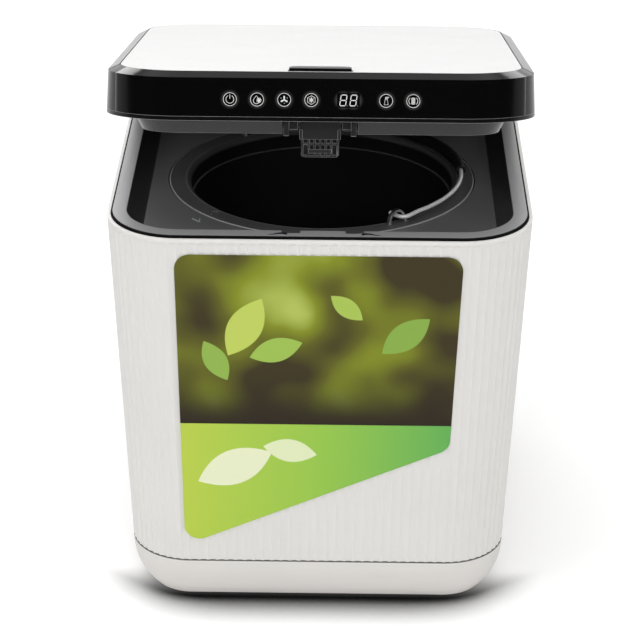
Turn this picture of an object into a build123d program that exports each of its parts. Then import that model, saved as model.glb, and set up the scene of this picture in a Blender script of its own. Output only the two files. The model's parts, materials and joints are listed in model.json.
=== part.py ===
from build123d import *
import os
from math import acos, asin, atan2, cos, degrees, pi, radians, sin, sqrt, tan

# Electric food waste composter: a worktop appliance with a rear-hinged lid, a lift-out
# bucket with a stirrer, a heated pot, a geared motor and a pull-out carbon filter.
# Millimetres. The origin is the centre of the footprint on the surface it stands on.
# +Z is up and the front, with the controls, faces -Y.
# The lid is drawn shut and then swung open by LID_OPEN_DEG, which is the rest pose.

# ---- body shell ----
WIDTH = 303.4               # over the rim
DEPTH = 368.0               # over the rim
RIM_HEIGHT = 301.7          # top of the rim above the surface
CORNER_R = 52.0             # plan corner radius at the rim
SEAM_CORNER_R = 45.0        # plan corner radius at the casing seam
CASING_LEAN = 10.15         # how far each casing wall leans in from its top to the seam
SIDE_TAPER = 2.5            # how much more than that the two sides lean in
SEAM_HEIGHT = 37.4          # where the casing meets the base tray
CASING_WALL = 2.6
TRAY_BOTTOM = 2.0           # underside of the tray above the surface
TRAY_FOOT_INSET = 14.7      # how far the tray curves in from the seam to its underside
TRAY_WALL = 3.0
SEAM_GAP = 0.6              # width of the seam line between casing and tray
SPIGOT_HEIGHT = 6.0         # upstand of the tray inside the casing
FIT = 0.3                   # general gap between neighbouring mouldings

# ---- deck and rim ----
RIM_PROUD = 2.1             # how far the rim stands above the casing's top edge
RIM_GAP = 1.3               # gap round the rim, inside the casing's edge
RIM_PLATE = 1.4             # thickness of the rim's flat band
RIM_BAND = 13.8             # from the casing's face to the inner edge of that band
RECESS_SLOPE = 11.0         # horizontal run of the recess wall
RECESS_DEPTH = 18.0         # from the rim down to the deck
DECK_WALL = 2.4
DECK_SKIRT = 8.0            # skirt inside the casing, below the rim
SKIRT_THICK = 2.0
SWITCH_THICK = 5.4          # front to back
SWITCH_WIDTH = 10.0
SWITCH_HEIGHT = 14.0
SWITCH_LAP = 2.0            # how far it reaches up behind the skirt
GASKET_DROP = 0.3           # top of the dark gasket below the rim's top
GASKET_HEIGHT = 6.0
GASKET_CLEAR = 0.25         # between the gasket and the casing's inside
LEDGE_BITE = 2.4            # how far the casing's inner ledge, which carries the deck, stands in
LEDGE_HEIGHT = 2.5

# ---- bucket and heated pot ----
BUCKET_Y = -22.0            # bucket axis, in front of the body's centre
FLANGE_R = 114.5            # bucket flange
MOUTH_R = 98.0              # bucket mouth
FLANGE_THICK = 2.6
STEP_DROP = 13.8            # depth of the step inside the mouth
MOUTH_ROUND = 4.0           # round of the mouth's edge
STEP_WIDTH = 1.6
BUCKET_WALL = 2.6
BUCKET_DEPTH = 148.0        # from the flange's top to the inside floor
BUCKET_FLOOR = 4.0
BUCKET_TAPER = 2.4          # loss of radius from the step to the floor
HOLE_GAP = 1.0              # radial gap between the flange and the deck hole
LEDGE_WIDTH = 6.0           # deck ledge under the pot's flange
LEDGE_THICK = 3.0
POT_GAP = 1.6               # gap between bucket and pot
POT_WALL = 2.0
POT_FLOOR = 3.0
POT_FLOOR_DROP = 14.0       # from the bucket's underside to the pot's floor
INSULATION_THICK = 8.0
INSULATION_HEIGHT = 130.0
HEATER_IN_R = 52.0
HEATER_OUT_R = 84.0
HEATER_THICK = 8.0

# ---- stirrer ----
STIR_SHAFT_R = 6.0
STIR_HUB_R = 13.0
STIR_HUB_HEIGHT = 20.0
STIR_ARM_R = 86.0
STIR_ARM_WIDTH = 13.0
STIR_ARM_THICK = 7.0
STIR_ARM_RISE = 3.0         # gap under the arms
TINE_R = 3.5
TINE_HEIGHT = 34.0
TINE_RADII = (42.0, 70.0)
STIR_ARMS = 3
BREAKERS = 3
BREAKER_LENGTH = 17.0
BREAKER_WIDTH = 8.0
BREAKER_THICK = 5.0
BREAKER_RISE = 30.0         # above the bucket's floor
BOSS_R = 14.0
BOSS_HEIGHT = 5.0
BUSH_WALL = 4.0
SHAFT_FIT = 0.05            # radial running clearance of every turning shaft
DOG_AF = 14.0               # across the flats of the drive dog
DOG_FIT = 0.6
DOG_LENGTH = 8.0
SOCKET_R = 12.5

# ---- drive train ----
SHAFT_R = 7.0
GEARBOX_WALL = 3.0
HEATER_GAP = 2.8            # between the heater and the gearbox under it
GEARBOX_HEIGHT = 38.0
OUTPUT_TEETH = 48
IDLER_PINION_TEETH = 18
OUTPUT_MODULE = 1.25
IDLER_TEETH = 54
MOTOR_TEETH = 18
MOTOR_MODULE = 1.0
PRESSURE_DEG = 20.0
BACKLASH = 0.16             # taken off each tooth's thickness at the pitch circle
GEAR_THICK = 12.0
FINE_GEAR_THICK = 8.0
GEAR_GAP = 1.5              # axial gap between gears and between gear and wall
IDLER_SHAFT_R = 4.0
MOTOR_SHAFT_R = 3.0
MOTOR_R = 24.0
MOTOR_FLOOR_GAP = 9.0       # between the motor and the tray's floor
BEARING_WALL = 5.0

# ---- bail ----
WIRE_R = 1.5
BAIL_R = 105.0
BAIL_DIR_DEG = 32.0         # plan direction of the bail's middle
LUG_R = 104.4               # where the bail's eyes stand, from the bucket's axis
LUG_RISE = 4.6              # eye centre above the flange
EYE_R = 5.6
EYE_THICK = 3.4
BAIL_END_SETBACK = 19.0     # where the arc ends, in front of the line of the eyes
ELBOW_OUT = 6.6             # from the eye out to the wire's elbow
TIP_IN = 8.6                # from the eye in to the wire's tip
GRIP_R = 4.2                # sleeve round the bail's middle, which lies on the flange
GRIP_SPAN_DEG = 60.0

# ---- lid ----
LID_GAP = 0.5               # between rim and shut lid
LID_WIDTH = 300.8           # over its lower edge
LID_THICK = 33.4
LIP_THICK = 3.0             # grey lower lip
LID_WALL = 3.2
CHAMFER_WIDTH = 6.0         # at the front and the rear
CHAMFER_SIDE = 8.1          # at the sides
SIDE_LEAN = 1.3             # how far each side leans in, from the lower edge to the chamfer
CHAMFER_HEIGHT = 3.8
PANEL_THICK = 2.4
PANEL_GAP = 0.3
TOP_WEB = 2.4               # web of the lid shell under the panel
PLUG_INSET = 19.0           # from the lid's edge to the plug
PLUG_DEPTH = 11.7
PLUG_SLOPE = 6.0
PLUG_WALL = 2.2
DOME_R = 117.0              # round recess inside the plug
DOME_RISE = 5.0             # ceiling of that recess above the lip's underside
SEAL_INSET = 8.3
SEAL_WIDTH = 3.0
SEAL_PROUD = 0.4
SEAL_SEAT = 1.2
LID_OPEN_DEG = 13.24        # how far the lid stands open at rest
HINGE_INSET = 7.5           # hinge axis from the body's rear face
HINGE_RISE = 8.5            # hinge axis above the rim
HEEL_R = 7.7                # round of the lid's rear lower edge, about the hinge axis
LID_SCREW_INSET = 14.0
LID_SCREW_LENGTH = 14.0
HINGE_X = 96.0              # each hinge's centre from the middle
HINGE_SPAN = 30.0
EAR_THICK = 6.5
KNUCKLE_R = 6.0
PIN_R = 2.5
LEAF_THICK = 2.0
LEAF_FRONT = 9.0            # how far the leaf on the rim reaches in front of the axis
LEAF_BACK = 3.5             # and behind it

# ---- control fascia ----
FASCIA_THICK = 1.6
FASCIA_HALF = 142.0         # where the strip ends, round the front corners
ICON_R = 5.0
ICON_DEPTH = 0.3
ICON_RISE = 14.9            # icon centres above the lid's lower edge
ICON_STEP = 18.53
ICON_START = -61.5
DIGITS_X = 19.4
DIGITS_WIDTH = 15.5
DIGITS_HEIGHT = 10.0
RIGHT_ICONS_X = 45.1
BOARD_THICK = 1.6
LED_SIZE = 5.0

# ---- release button and latch ----
BUTTON_WIDTH = 43.0
BUTTON_DEPTH = 13.0
BUTTON_FRONT = 10.5         # its front edge behind the lid's front face
BUTTON_PROUD = 2.2
BUTTON_CORNER = 6.0
BUTTON_FLANGE = 2.0
TONGUE_HALF = 14.3
TONGUE_BLOCK_DROP = 15.4    # below the lip
GRILLE_HALF = 13.1
GRILLE_DROP = 28.2
GRILLE_BAR = 1.4
GRILLE_BARS = 5
TONGUE_FRONT = 24.8         # tongue's front behind the lid's front face
TONGUE_THICK = 11.0
CHEEK_WIDTH = 2.0           # raised strips at the sides of the block's front
CHEEK_PROUD = 1.2
CHEEK_DROP = 8.6            # where they start, below the lip
GRILLE_THICK = 6.5
GRILLE_SETBACK = 2.4        # grille's front behind the block's front
BARB_BITE = 1.9             # how far the barb reaches under the keeper
BARB_THICK = 2.6
KEEPER_THICK = 1.2
KEEPER_WIDTH = 4.2
LATCH_PLAY = 0.4            # gap between the barb and the keeper when the lid is shut
PIVOT_RISE = 9.0            # latch pivot above the lip's underside
PIVOT_R = 2.0
ARM_THICK = 3.0             # the tongue's arm that the button pushes
ARM_RISE = 2.4              # its top above the pivot pin
STEM_GAP = 0.3              # between the button's stem and that arm at rest
STEM_WIDTH = 6.0
STEM_DEPTH = 2.4
NOTCH_HALF = 26.2
HOUSING_DEPTH = 21.0        # latch housing's rear edge, behind the plug's front
POST_X = 23.3
POST_WIDTH = 3.6
POST_DROP = 11.8
HOOK_X = 18.6
HOOK_WIDTH = 6.6
HOOK_DROP = 8.2
SLOT_HALF = 15.5            # latch slot in the deck
RIM_NOTCH_X = 22.4
RIM_NOTCH_SHIFT = 2.6       # the pair of rim notches stands slightly to the right
RIM_NOTCH_WIDTH = 13.2
RIM_NOTCH_BITE = 4.5        # how far they cut into the band
SPRING_R = 3.4
SPRING_WIRE = 0.5
SPRING_TURNS = 4

# ---- rear: filter, fan, inlet ----
FILTER_HALF = 46.0
INTAKE_HEIGHT = 21.3        # duct between the deck and the filter bay
FILTER_HEIGHT = 58.0
BAY_SETBACK = 15.4          # from the pot's insulation to the inside of the filter bay
BAY_WALL = 2.0
DRAWER_WALL = 2.0
PULL_HALF = 17.0
PULL_HEIGHT = 12.0
PULL_DEPTH = 9.0
DUCT_HALF = 30.0
DUCT_SETBACK = 6.4          # from the bay's front end to the ducts
DUCT_DEPTH = 34.0
FAN_SIZE = 60.0
FAN_THICK = 15.0
EXHAUST_RISE = 10.0         # room between the filter bay and the fan
FAN_HUB_R = 11.0
FAN_BLADES = 7
FAN_TIP_GAP = 1.0
GRILLE_SLOTS = 11
GRILLE_SLOT = 2.8
INLET_X = 88.0
INLET_Z = 61.0
INLET_HALF = 12.0
INLET_HEIGHT = 17.0
INLET_DEPTH = 16.0
INLET_WALL = 2.5
BLADE_LENGTH = 10.0
BOARD_X = 88.0
BOARD_HALF = 32.0
BOARD_HEIGHT = 92.0
BOARD_BOTTOM = 92.0
BRACKET_THICK = 2.0
SPACER_R = 3.0
SPACER_HEIGHT = 4.0
SPACER_INSET = 6.0          # from the board's edges
INLET_CLEAR = 3.2           # round the inlet where it passes the bracket
TRANSFORMER = (30.0, 26.0, 28.0)    # width, height off the board, length up the board
TRANSFORMER_RISE = 10.0     # above the board's lower edge
TRANSFORMER_SHIFT = -9.0    # from the board's middle, along X
RELAY_SHIFT = -4.0
CAPACITOR_SHIFT = 18.0
RELAYS = 3
RELAY = (12.0, 14.0, 18.0)
RELAY_STEP = 16.0
RELAY_RISE = 64.0
CAPACITORS = 2
CAPACITOR_R = 7.0
CAPACITOR_LENGTH = 20.0
CAPACITOR_STEP = 18.0
CAPACITOR_RISE = 16.0
BOARD_BACK = 57.0           # from the body's rear face to the board's bracket

# ---- base and fasteners ----
FOOT_X = 92.0
FOOT_Y = 126.0
FOOT_R = 11.0
FOOT_STEM_R = 4.0
SCREW_R = 1.9
HEAD_R = 3.8
HEAD_THICK = 2.4
SCREW_X = 106.0
SCREW_Y = 140.0
BOSS_POST_R = 6.0
BOSS_RIB = 14.0             # height of the ribs that tie the casing's bosses to its corners

# ---- front label ----
LABEL_FILM = 0.35
LABEL_HALF = 101.4
LABEL_DROP = 11.3           # below the casing's top edge
LABEL_HEIGHT = 237.7
LABEL_SLANT = 83.8          # how much shorter its right-hand side is
LABEL_INSET_LEFT = 4.1      # how far its lower corners stand in from the upper ones
LABEL_INSET_RIGHT = 6.1
LABEL_CORNER = 11.0

# ---- derived places ----
casing_top = RIM_HEIGHT - RIM_PROUD
rim_inset = CASING_WALL + RIM_GAP
skirt_low = RIM_HEIGHT - RIM_PLATE - DECK_SKIRT
deck_z = RIM_HEIGHT - RECESS_DEPTH
flange_top = deck_z + 0.1
flange_bottom = flange_top - FLANGE_THICK
hole_r = FLANGE_R + HOLE_GAP
bucket_floor_z = flange_top - BUCKET_DEPTH
bucket_under_z = bucket_floor_z - BUCKET_FLOOR
step_r = MOUTH_R - STEP_WIDTH
pot_r = MOUTH_R + BUCKET_WALL + POT_GAP
pot_flange_top = flange_bottom - FIT
pot_floor_z = bucket_under_z - POT_FLOOR_DROP
pot_under_z = pot_floor_z - POT_FLOOR
insulation_out_r = pot_r + POT_WALL + INSULATION_THICK
lid_z = RIM_HEIGHT + LID_GAP
lid_top = lid_z + LID_THICK
panel_lean = SIDE_LEAN + CHAMFER_SIDE - CHAMFER_WIDTH
hinge_y = DEPTH / 2 - HINGE_INSET
hinge_z = RIM_HEIGHT + HINGE_RISE
hinge_axis = Axis((0, hinge_y, hinge_z), (1, 0, 0))
output_centre = OUTPUT_MODULE * (OUTPUT_TEETH + IDLER_PINION_TEETH) / 2
motor_centre = MOTOR_MODULE * (IDLER_TEETH + MOTOR_TEETH) / 2
idler_x = -output_centre
motor_x = idler_x - motor_centre
filter_top = deck_z - DECK_WALL - INTAKE_HEIGHT - BAY_WALL
filter_bottom = filter_top - FILTER_HEIGHT
fan_bottom = filter_bottom - BAY_WALL - EXHAUST_RISE - FAN_SIZE
bay_front_y = BUCKET_Y + insulation_out_r + BAY_SETBACK
duct_front_y = bay_front_y + DUCT_SETBACK
board_y = DEPTH / 2 - BOARD_BACK
gearbox_top = pot_under_z - HEATER_THICK - HEATER_GAP
gearbox_bottom = gearbox_top - GEARBOX_HEIGHT
output_gear_z = gearbox_bottom + GEARBOX_WALL + GEAR_GAP
idler_gear_z = output_gear_z + GEAR_THICK + GEAR_GAP
dog_z = pot_floor_z + 1.0
front_y = -DEPTH / 2
tongue_y = front_y + TONGUE_FRONT
pivot_y = tongue_y + TONGUE_THICK / 2
pivot_z = lid_z + PIVOT_RISE
button_y = front_y + BUTTON_FRONT
button_mid_y = button_y + BUTTON_DEPTH / 2


# ---------------------------------------------------------------- helpers
def box(x0, x1, y0, y1, z0, z1):
    """A box between two corners."""
    return Pos((x0 + x1) / 2, (y0 + y1) / 2, (z0 + z1) / 2) * Box(x1 - x0, y1 - y0, z1 - z0)


def tube(outer, inner, z0, z1, x=0.0, y=0.0):
    """A hollow or, with inner 0, solid cylinder along Z."""
    ring = Circle(outer) - Circle(inner) if inner else Circle(outer)
    return extrude(Pos(x, y, z0) * ring, z1 - z0)


def rounded(inset, radius, z, taper=0.0):
    """The rim's outline drawn in by inset, and by taper more at each side, at height z."""
    return Pos(0, 0, z) * RectangleRounded(WIDTH - 2 * (inset + taper), DEPTH - 2 * inset, radius)


def casing_lean(z):
    """How far the casing's face stands in from the rim's outline at height z."""
    return CASING_LEAN * (casing_top - z) / (casing_top - SEAM_HEIGHT)


def casing_solid(offset, z0, z1):
    """The casing's leaning block, drawn in by offset, between two heights."""
    sections = []
    for z in (z0, z1):
        lean = casing_lean(z)
        radius = CORNER_R + (SEAM_CORNER_R - CORNER_R) * lean / CASING_LEAN
        sections.append(rounded(lean + offset, radius - offset, z, SIDE_TAPER * lean / CASING_LEAN))
    return loft(sections, ruled=True)


def tray_solid(offset, z0):
    """The base tray's block, drawn in by offset: its sides curve in on one arc."""
    height = SEAM_HEIGHT - SEAM_GAP - TRAY_BOTTOM
    sweep = 2 * atan2(TRAY_FOOT_INSET, height)
    arc_r = height / sin(sweep)
    sections = []
    for step in range(5):
        angle = sweep * step / 4
        inset = CASING_LEAN + offset + arc_r * (1 - cos(angle))
        z = SEAM_HEIGHT - SEAM_GAP - (SEAM_HEIGHT - SEAM_GAP - z0) * sin(angle) / sin(sweep)
        sections.append(rounded(inset, SEAM_CORNER_R - (inset - CASING_LEAN), z, SIDE_TAPER))
    return loft(sections, ruled=True)


def lid_plan(inset, lean, z):
    """The lid's outline drawn in by inset, and by lean more at each side."""
    return Pos(0, 0, z) * RectangleRounded(LID_WIDTH - 2 * (inset + lean), DEPTH - 2 * inset,
                                           CORNER_R - inset)


def lid_lean(z):
    """How far the lid's sides lean in at height z."""
    return SIDE_LEAN * (z - lid_z) / (lid_top - CHAMFER_HEIGHT - lid_z)


def lid_block(inset, z0, z1):
    """The lid's leaning block, drawn in by inset, between two heights."""
    return loft([lid_plan(inset, lid_lean(z0), z0), lid_plan(inset, lid_lean(z1), z1)], ruled=True)


def lid_ring(inset_out, inset_in, z0, z1):
    """A band that follows the lid's outline between two insets."""
    return extrude(lid_plan(inset_out, 0, z0) - lid_plan(inset_in, 0, z0), z1 - z0)


def rim_ring(inset_out, inset_in, z0, z1):
    """A band that follows the rim's outline between two insets."""
    outer = rounded(inset_out, CORNER_R - inset_out, z0)
    return extrude(outer - rounded(inset_in, CORNER_R - inset_in, z0), z1 - z0)


def heel_cut():
    """What is taken off the lid so that its rear lower edge is round about the hinge."""
    corner = box(-WIDTH, WIDTH, hinge_y, DEPTH, RIM_HEIGHT - 1, hinge_z)
    heel = Pos(0, hinge_y, hinge_z) * Rot(0, 90, 0) * Cylinder(HEEL_R, 2 * WIDTH)
    return corner - heel


def hinge_pockets():
    """The two pockets at the lid's rear edge that hold the hinges."""
    half = HINGE_SPAN / 2 + 1.0
    reach = KNUCKLE_R + LEAF_THICK + 1.6
    return [
        box(side * HINGE_X - half, side * HINGE_X + half, hinge_y - reach, DEPTH,
            RIM_HEIGHT - 1, hinge_z + reach)
        for side in (-1, 1)
    ]


def opened(shape):
    """Swing a piece of the shut lid to where it stands at rest."""
    return shape.rotate(hinge_axis, -LID_OPEN_DEG)


def cylinder_x(radius, x0, x1, y, z):
    """A cylinder along X."""
    return Pos((x0 + x1) / 2, y, z) * Rot(0, 90, 0) * Cylinder(radius, x1 - x0)


def screw(x, y, seat, length, up=True):
    """A pan-head screw whose head bears on the plane z = seat; up means the head is on top."""
    sign = 1 if up else -1
    head = Pos(x, y, seat + sign * HEAD_THICK / 2) * Cylinder(HEAD_R, HEAD_THICK)
    shank = Pos(x, y, seat - sign * length / 2) * Cylinder(SCREW_R, length)
    slot = Pos(x, y, seat + sign * HEAD_THICK) * Box(HEAD_R * 1.3, 0.8, HEAD_THICK)
    return (head + shank) - slot


def involute_gear(teeth, module, thickness, turn_deg, bore):
    """A spur gear with involute flanks; turn_deg points a tooth in that direction."""
    pitch_r = teeth * module / 2
    base_r = pitch_r * cos(radians(PRESSURE_DEG))
    tip_r = pitch_r + module
    root_r = pitch_r - 1.25 * module
    half_pitch_angle = (pi * module / 2 - BACKLASH) / 2 / pitch_r

    def involute(radius):
        return tan(acos(min(1.0, base_r / radius))) - acos(min(1.0, base_r / radius))

    half_base = half_pitch_angle + involute(pitch_r)
    points = []
    for tooth in range(teeth):
        middle = radians(turn_deg) + 2 * pi * tooth / teeth
        start_r = max(base_r, root_r)
        radii = [start_r + (tip_r - start_r) * k / 5 for k in range(6)]
        flank = [(r, half_base - involute(r)) for r in radii]
        low = [(root_r, half_base - involute(start_r))] if root_r < start_r else []
        right = [(r, -a) for r, a in low + flank]
        left = [(r, a) for r, a in reversed(low + flank)]
        points += [(r * cos(middle + a), r * sin(middle + a)) for r, a in right + left]
    outline = make_face(Polyline(*points, close=True))
    return extrude(outline - Circle(bore), thickness)


# ---------------------------------------------------------------- shell and base
def outer_casing():
    """Leaning casing, open above and below, with its rear openings and screw bosses."""
    shell = casing_solid(0, SEAM_HEIGHT, casing_top)
    shell -= casing_solid(CASING_WALL, SEAM_HEIGHT - 1, casing_top + 1)
    ledge_low = skirt_low - LEDGE_HEIGHT
    shell += casing_solid(CASING_WALL / 2, ledge_low, skirt_low) \
        - casing_solid(CASING_WALL + LEDGE_BITE, ledge_low - 1, skirt_low + 1)
    shell -= filter_opening(0)
    shell -= grille_opening(0)
    shell -= inlet_opening(0)
    inside = casing_solid(CASING_WALL / 2, SEAM_HEIGHT, casing_top)
    boss_top = SEAM_HEIGHT + SPIGOT_HEIGHT + BOSS_RIB
    rib_low = boss_top - BOSS_RIB + FIT
    for x in (-SCREW_X, SCREW_X):
        for y in (-SCREW_Y, SCREW_Y):
            boss = tube(BOSS_POST_R, 0, SEAM_HEIGHT, boss_top, x, y)
            outward = Pos(x, y, 0) * Rot(0, 0, degrees(atan2(y, x)))
            rib = outward * box(0, CORNER_R, -1.5, 1.5, rib_low, boss_top)
            shell += (boss + rib) & inside
            shell -= tube(SCREW_R + 0.05, 0, SEAM_HEIGHT - 1, boss_top + 1, x, y)
    return shell


def base_tray():
    """Base tray with its inner spigot, screw bosses and gearbox posts."""
    seam_z = SEAM_HEIGHT - SEAM_GAP
    tray = tray_solid(0, TRAY_BOTTOM) - tray_solid(TRAY_WALL, TRAY_BOTTOM + TRAY_WALL)
    spigot = casing_solid(CASING_WALL + FIT, seam_z - 4, SEAM_HEIGHT + SPIGOT_HEIGHT)
    spigot -= casing_solid(CASING_WALL + FIT + 2, seam_z - 5, SEAM_HEIGHT + SPIGOT_HEIGHT + 1)
    tray += spigot
    floor_z = TRAY_BOTTOM + TRAY_WALL
    for x in (-SCREW_X, SCREW_X):
        for y in (-SCREW_Y, SCREW_Y):
            tray += tube(BOSS_POST_R, 0, TRAY_BOTTOM, SEAM_HEIGHT - FIT, x, y)
            tray -= tube(HEAD_R + 0.4, 0, TRAY_BOTTOM - 1, floor_z + 1, x, y)
            tray -= tube(SCREW_R + 0.2, 0, TRAY_BOTTOM, SEAM_HEIGHT + 1, x, y)
    for x, y in gearbox_corners():
        tray += tube(5.0, 0, TRAY_BOTTOM + 1, gearbox_bottom, x, y)
        tray -= tube(SCREW_R + 0.05, 0, gearbox_bottom - 14, gearbox_bottom + 1, x, y)
    for x, y in foot_places():
        tray -= tube(FOOT_STEM_R, 0, TRAY_BOTTOM - 1, floor_z + 1, x, y)
    return tray


def foot_places():
    """Plan positions of the four feet."""
    return [(x, y) for x in (-FOOT_X, FOOT_X) for y in (-FOOT_Y, FOOT_Y)]


def rubber_feet():
    """Four press-in feet."""
    return [
        tube(FOOT_R, 0, 0, TRAY_BOTTOM, x, y) + tube(FOOT_STEM_R, 0, TRAY_BOTTOM, TRAY_BOTTOM + TRAY_WALL, x, y)
        for x, y in foot_places()
    ]


def case_screws():
    """Four screws that hold the casing on the tray, and four long ones through the gearbox."""
    seat = TRAY_BOTTOM + TRAY_WALL + 1
    screws = [
        screw(x, y, seat, SEAM_HEIGHT + 14 - seat, up=False)
        for x in (-SCREW_X, SCREW_X) for y in (-SCREW_Y, SCREW_Y)
    ]
    return screws + [screw(x, y, gearbox_top, GEARBOX_HEIGHT + 12) for x, y in gearbox_corners()]


def top_deck():
    """Rim band, sloping recess wall, deck, bucket hole with its ledge, slots and vents."""
    rim = extrude(rounded(rim_inset, CORNER_R - rim_inset, RIM_HEIGHT - RIM_PLATE), RIM_PLATE)
    rim += rim_ring(rim_inset, rim_inset + SKIRT_THICK, skirt_low, RIM_HEIGHT - RIM_PLATE)
    top_in = RIM_BAND
    low_in = RIM_BAND + RECESS_SLOPE
    basin = loft([
        rounded(top_in - DECK_WALL, CORNER_R - top_in + DECK_WALL, RIM_HEIGHT - RIM_PLATE),
        rounded(low_in - DECK_WALL, CORNER_R - low_in + DECK_WALL, deck_z - DECK_WALL),
    ], ruled=True)
    hollow = loft([
        rounded(top_in, CORNER_R - top_in, RIM_HEIGHT),
        rounded(low_in, CORNER_R - low_in, deck_z),
    ], ruled=True)
    ledge_top = pot_flange_top - POT_WALL
    collar_bottom = ledge_top - LEDGE_THICK
    deck = rim + basin + tube(hole_r + DECK_WALL, 0, collar_bottom, deck_z, 0, BUCKET_Y)
    deck -= hollow
    deck -= tube(hole_r, 0, ledge_top, deck_z + 1, 0, BUCKET_Y)
    deck -= tube(hole_r - LEDGE_WIDTH, 0, collar_bottom - 1, deck_z, 0, BUCKET_Y)
    deck -= latch_slot()
    for side in (-1, 1):
        x = RIM_NOTCH_SHIFT + side * RIM_NOTCH_X
        deck -= box(x - RIM_NOTCH_WIDTH / 2, x + RIM_NOTCH_WIDTH / 2,
                    front_y + RIM_BAND - RIM_NOTCH_BITE, front_y + RIM_BAND + RECESS_SLOPE - 2,
                    deck_z + 2.5, RIM_HEIGHT + 1)
    for row in range(5):
        y = duct_front_y + 5 + row * 6
        deck -= box(-DUCT_HALF + 4, DUCT_HALF - 4, y, y + 3, deck_z - DECK_WALL - 1, deck_z + 1)
    return deck


def latch_slot():
    """Slot in the deck that the latch tongue drops into."""
    return box(-SLOT_HALF, SLOT_HALF, tongue_y - 0.2, tongue_y + TONGUE_THICK + 3.6,
               deck_z - DECK_WALL - 1, deck_z + 1)


def latch_striker():
    """Steel keeper under the front edge of the deck slot; the barb hooks under it."""
    edge = keeper_edge()
    return box(-SLOT_HALF, SLOT_HALF, edge - KEEPER_WIDTH, edge,
               deck_z - DECK_WALL - KEEPER_THICK, deck_z - DECK_WALL)


def keeper_edge():
    """The keeper's rear edge, just in front of the shut tongue."""
    return tongue_y + GRILLE_SETBACK - LATCH_PLAY


def interlock_switches():
    """Two micro-switches under the rim notches, which the lid's posts close."""
    parts = []
    for side in (-1, 1):
        x = side * POST_X
        back = front_y + rim_inset + SKIRT_THICK
        top = skirt_low + SWITCH_LAP
        parts.append(box(x - SWITCH_WIDTH / 2, x + SWITCH_WIDTH / 2, back, back + SWITCH_THICK,
                         top - SWITCH_HEIGHT, top))
    return parts


def rim_gasket():
    """Dark gasket that fills the gap between the rim and the casing's edge."""
    top = RIM_HEIGHT - GASKET_DROP
    return rim_ring(CASING_WALL + GASKET_CLEAR, rim_inset, top - GASKET_HEIGHT, top)


def label_outline():
    """The label's outline on the front: its lower edge rises to the right."""
    top = casing_top - LABEL_DROP
    low = top - LABEL_HEIGHT
    corners = [
        (-LABEL_HALF, top), (LABEL_HALF, top),
        (LABEL_HALF - LABEL_INSET_RIGHT, low + LABEL_SLANT), (-LABEL_HALF + LABEL_INSET_LEFT, low),
    ]
    face = make_face(Polyline(*corners, close=True))
    return fillet(face.vertices(), LABEL_CORNER)


def front_label():
    """Printed film on the front of the casing."""
    prism = extrude(Plane.XZ * label_outline(), DEPTH)
    film = casing_solid(-LABEL_FILM, SEAM_HEIGHT, casing_top) - casing_solid(0, SEAM_HEIGHT - 1, casing_top + 1)
    return film & prism


# ---------------------------------------------------------------- pot, bucket, stirrer
def heating_pot():
    """Aluminium pot that hangs on the deck's ledge and warms the bucket."""
    flange_r = FLANGE_R + FIT
    pot = tube(flange_r, 0, pot_flange_top - POT_WALL, pot_flange_top, 0, BUCKET_Y)
    pot += tube(pot_r + POT_WALL, 0, pot_under_z, pot_flange_top, 0, BUCKET_Y)
    pot -= tube(pot_r, 0, pot_floor_z, pot_flange_top + 1, 0, BUCKET_Y)
    pot -= tube(SHAFT_R + BUSH_WALL, 0, pot_under_z - 1, pot_floor_z + 1, 0, BUCKET_Y)
    return pot


def shaft_seal():
    """Lip seal where the drive shaft passes the pot's floor."""
    return tube(SHAFT_R + BUSH_WALL, SHAFT_R + SHAFT_FIT, pot_under_z, pot_floor_z, 0, BUCKET_Y)


def heater_ring():
    """Cast-in heating element clamped under the pot."""
    ring = tube(HEATER_OUT_R, HEATER_IN_R, pot_under_z - HEATER_THICK, pot_under_z, 0, BUCKET_Y)
    lead_y = BUCKET_Y + (HEATER_IN_R + HEATER_OUT_R) / 2
    leads = [tube(3, 0, pot_under_z - HEATER_THICK - 5, pot_under_z - HEATER_THICK, x, lead_y)
             for x in (-8, 8)]
    return ring + leads[0] + leads[1]


def insulation_sleeve():
    """Felt sleeve round the pot."""
    z0 = pot_floor_z + 4
    return tube(insulation_out_r, pot_r + POT_WALL, z0, z0 + INSULATION_HEIGHT, 0, BUCKET_Y)


def thermostat():
    """Temperature sensor clamped under the pot, outside the heater."""
    x = HEATER_OUT_R + 3
    return box(x, x + 12, BUCKET_Y - 8, BUCKET_Y + 8, pot_under_z - 7, pot_under_z)


def bucket():
    """Coated bucket: flange, stepped mouth, tapering wall, floor with a raised boss and lugs."""
    foot_r = step_r - BUCKET_TAPER
    floor_z = bucket_floor_z
    step_z = flange_top - STEP_DROP
    outline = [
        (0, bucket_under_z), (foot_r + BUCKET_WALL, bucket_under_z), (step_r + BUCKET_WALL, step_z),
        (MOUTH_R + BUCKET_WALL, flange_bottom), (FLANGE_R, flange_bottom), (FLANGE_R, flange_top),
        (MOUTH_R, flange_top), (MOUTH_R, step_z),
        (step_r, step_z), (foot_r, floor_z), (BOSS_R + 4, floor_z), (BOSS_R, floor_z + BOSS_HEIGHT),
        (0, floor_z + BOSS_HEIGHT),
    ]
    section = make_face(Polyline(*outline, close=True))
    mouth = section.vertices().sort_by_distance((MOUTH_R, flange_top))[0]
    body = revolve(Plane.XZ * fillet(mouth, MOUTH_ROUND), Axis.Z)
    body -= tube(STIR_SHAFT_R + BUSH_WALL, 0, bucket_under_z - 1, floor_z + BOSS_HEIGHT + 1)
    for side in (-1, 1):
        body += bail_lug(side)
    return Pos(0, BUCKET_Y, 0) * body


def lug_place(side):
    """Plan position and direction of one bail eye, from the bucket's axis."""
    angle = radians(BAIL_DIR_DEG - side * 90)
    return LUG_R * cos(angle), LUG_R * sin(angle), degrees(angle)


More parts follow.
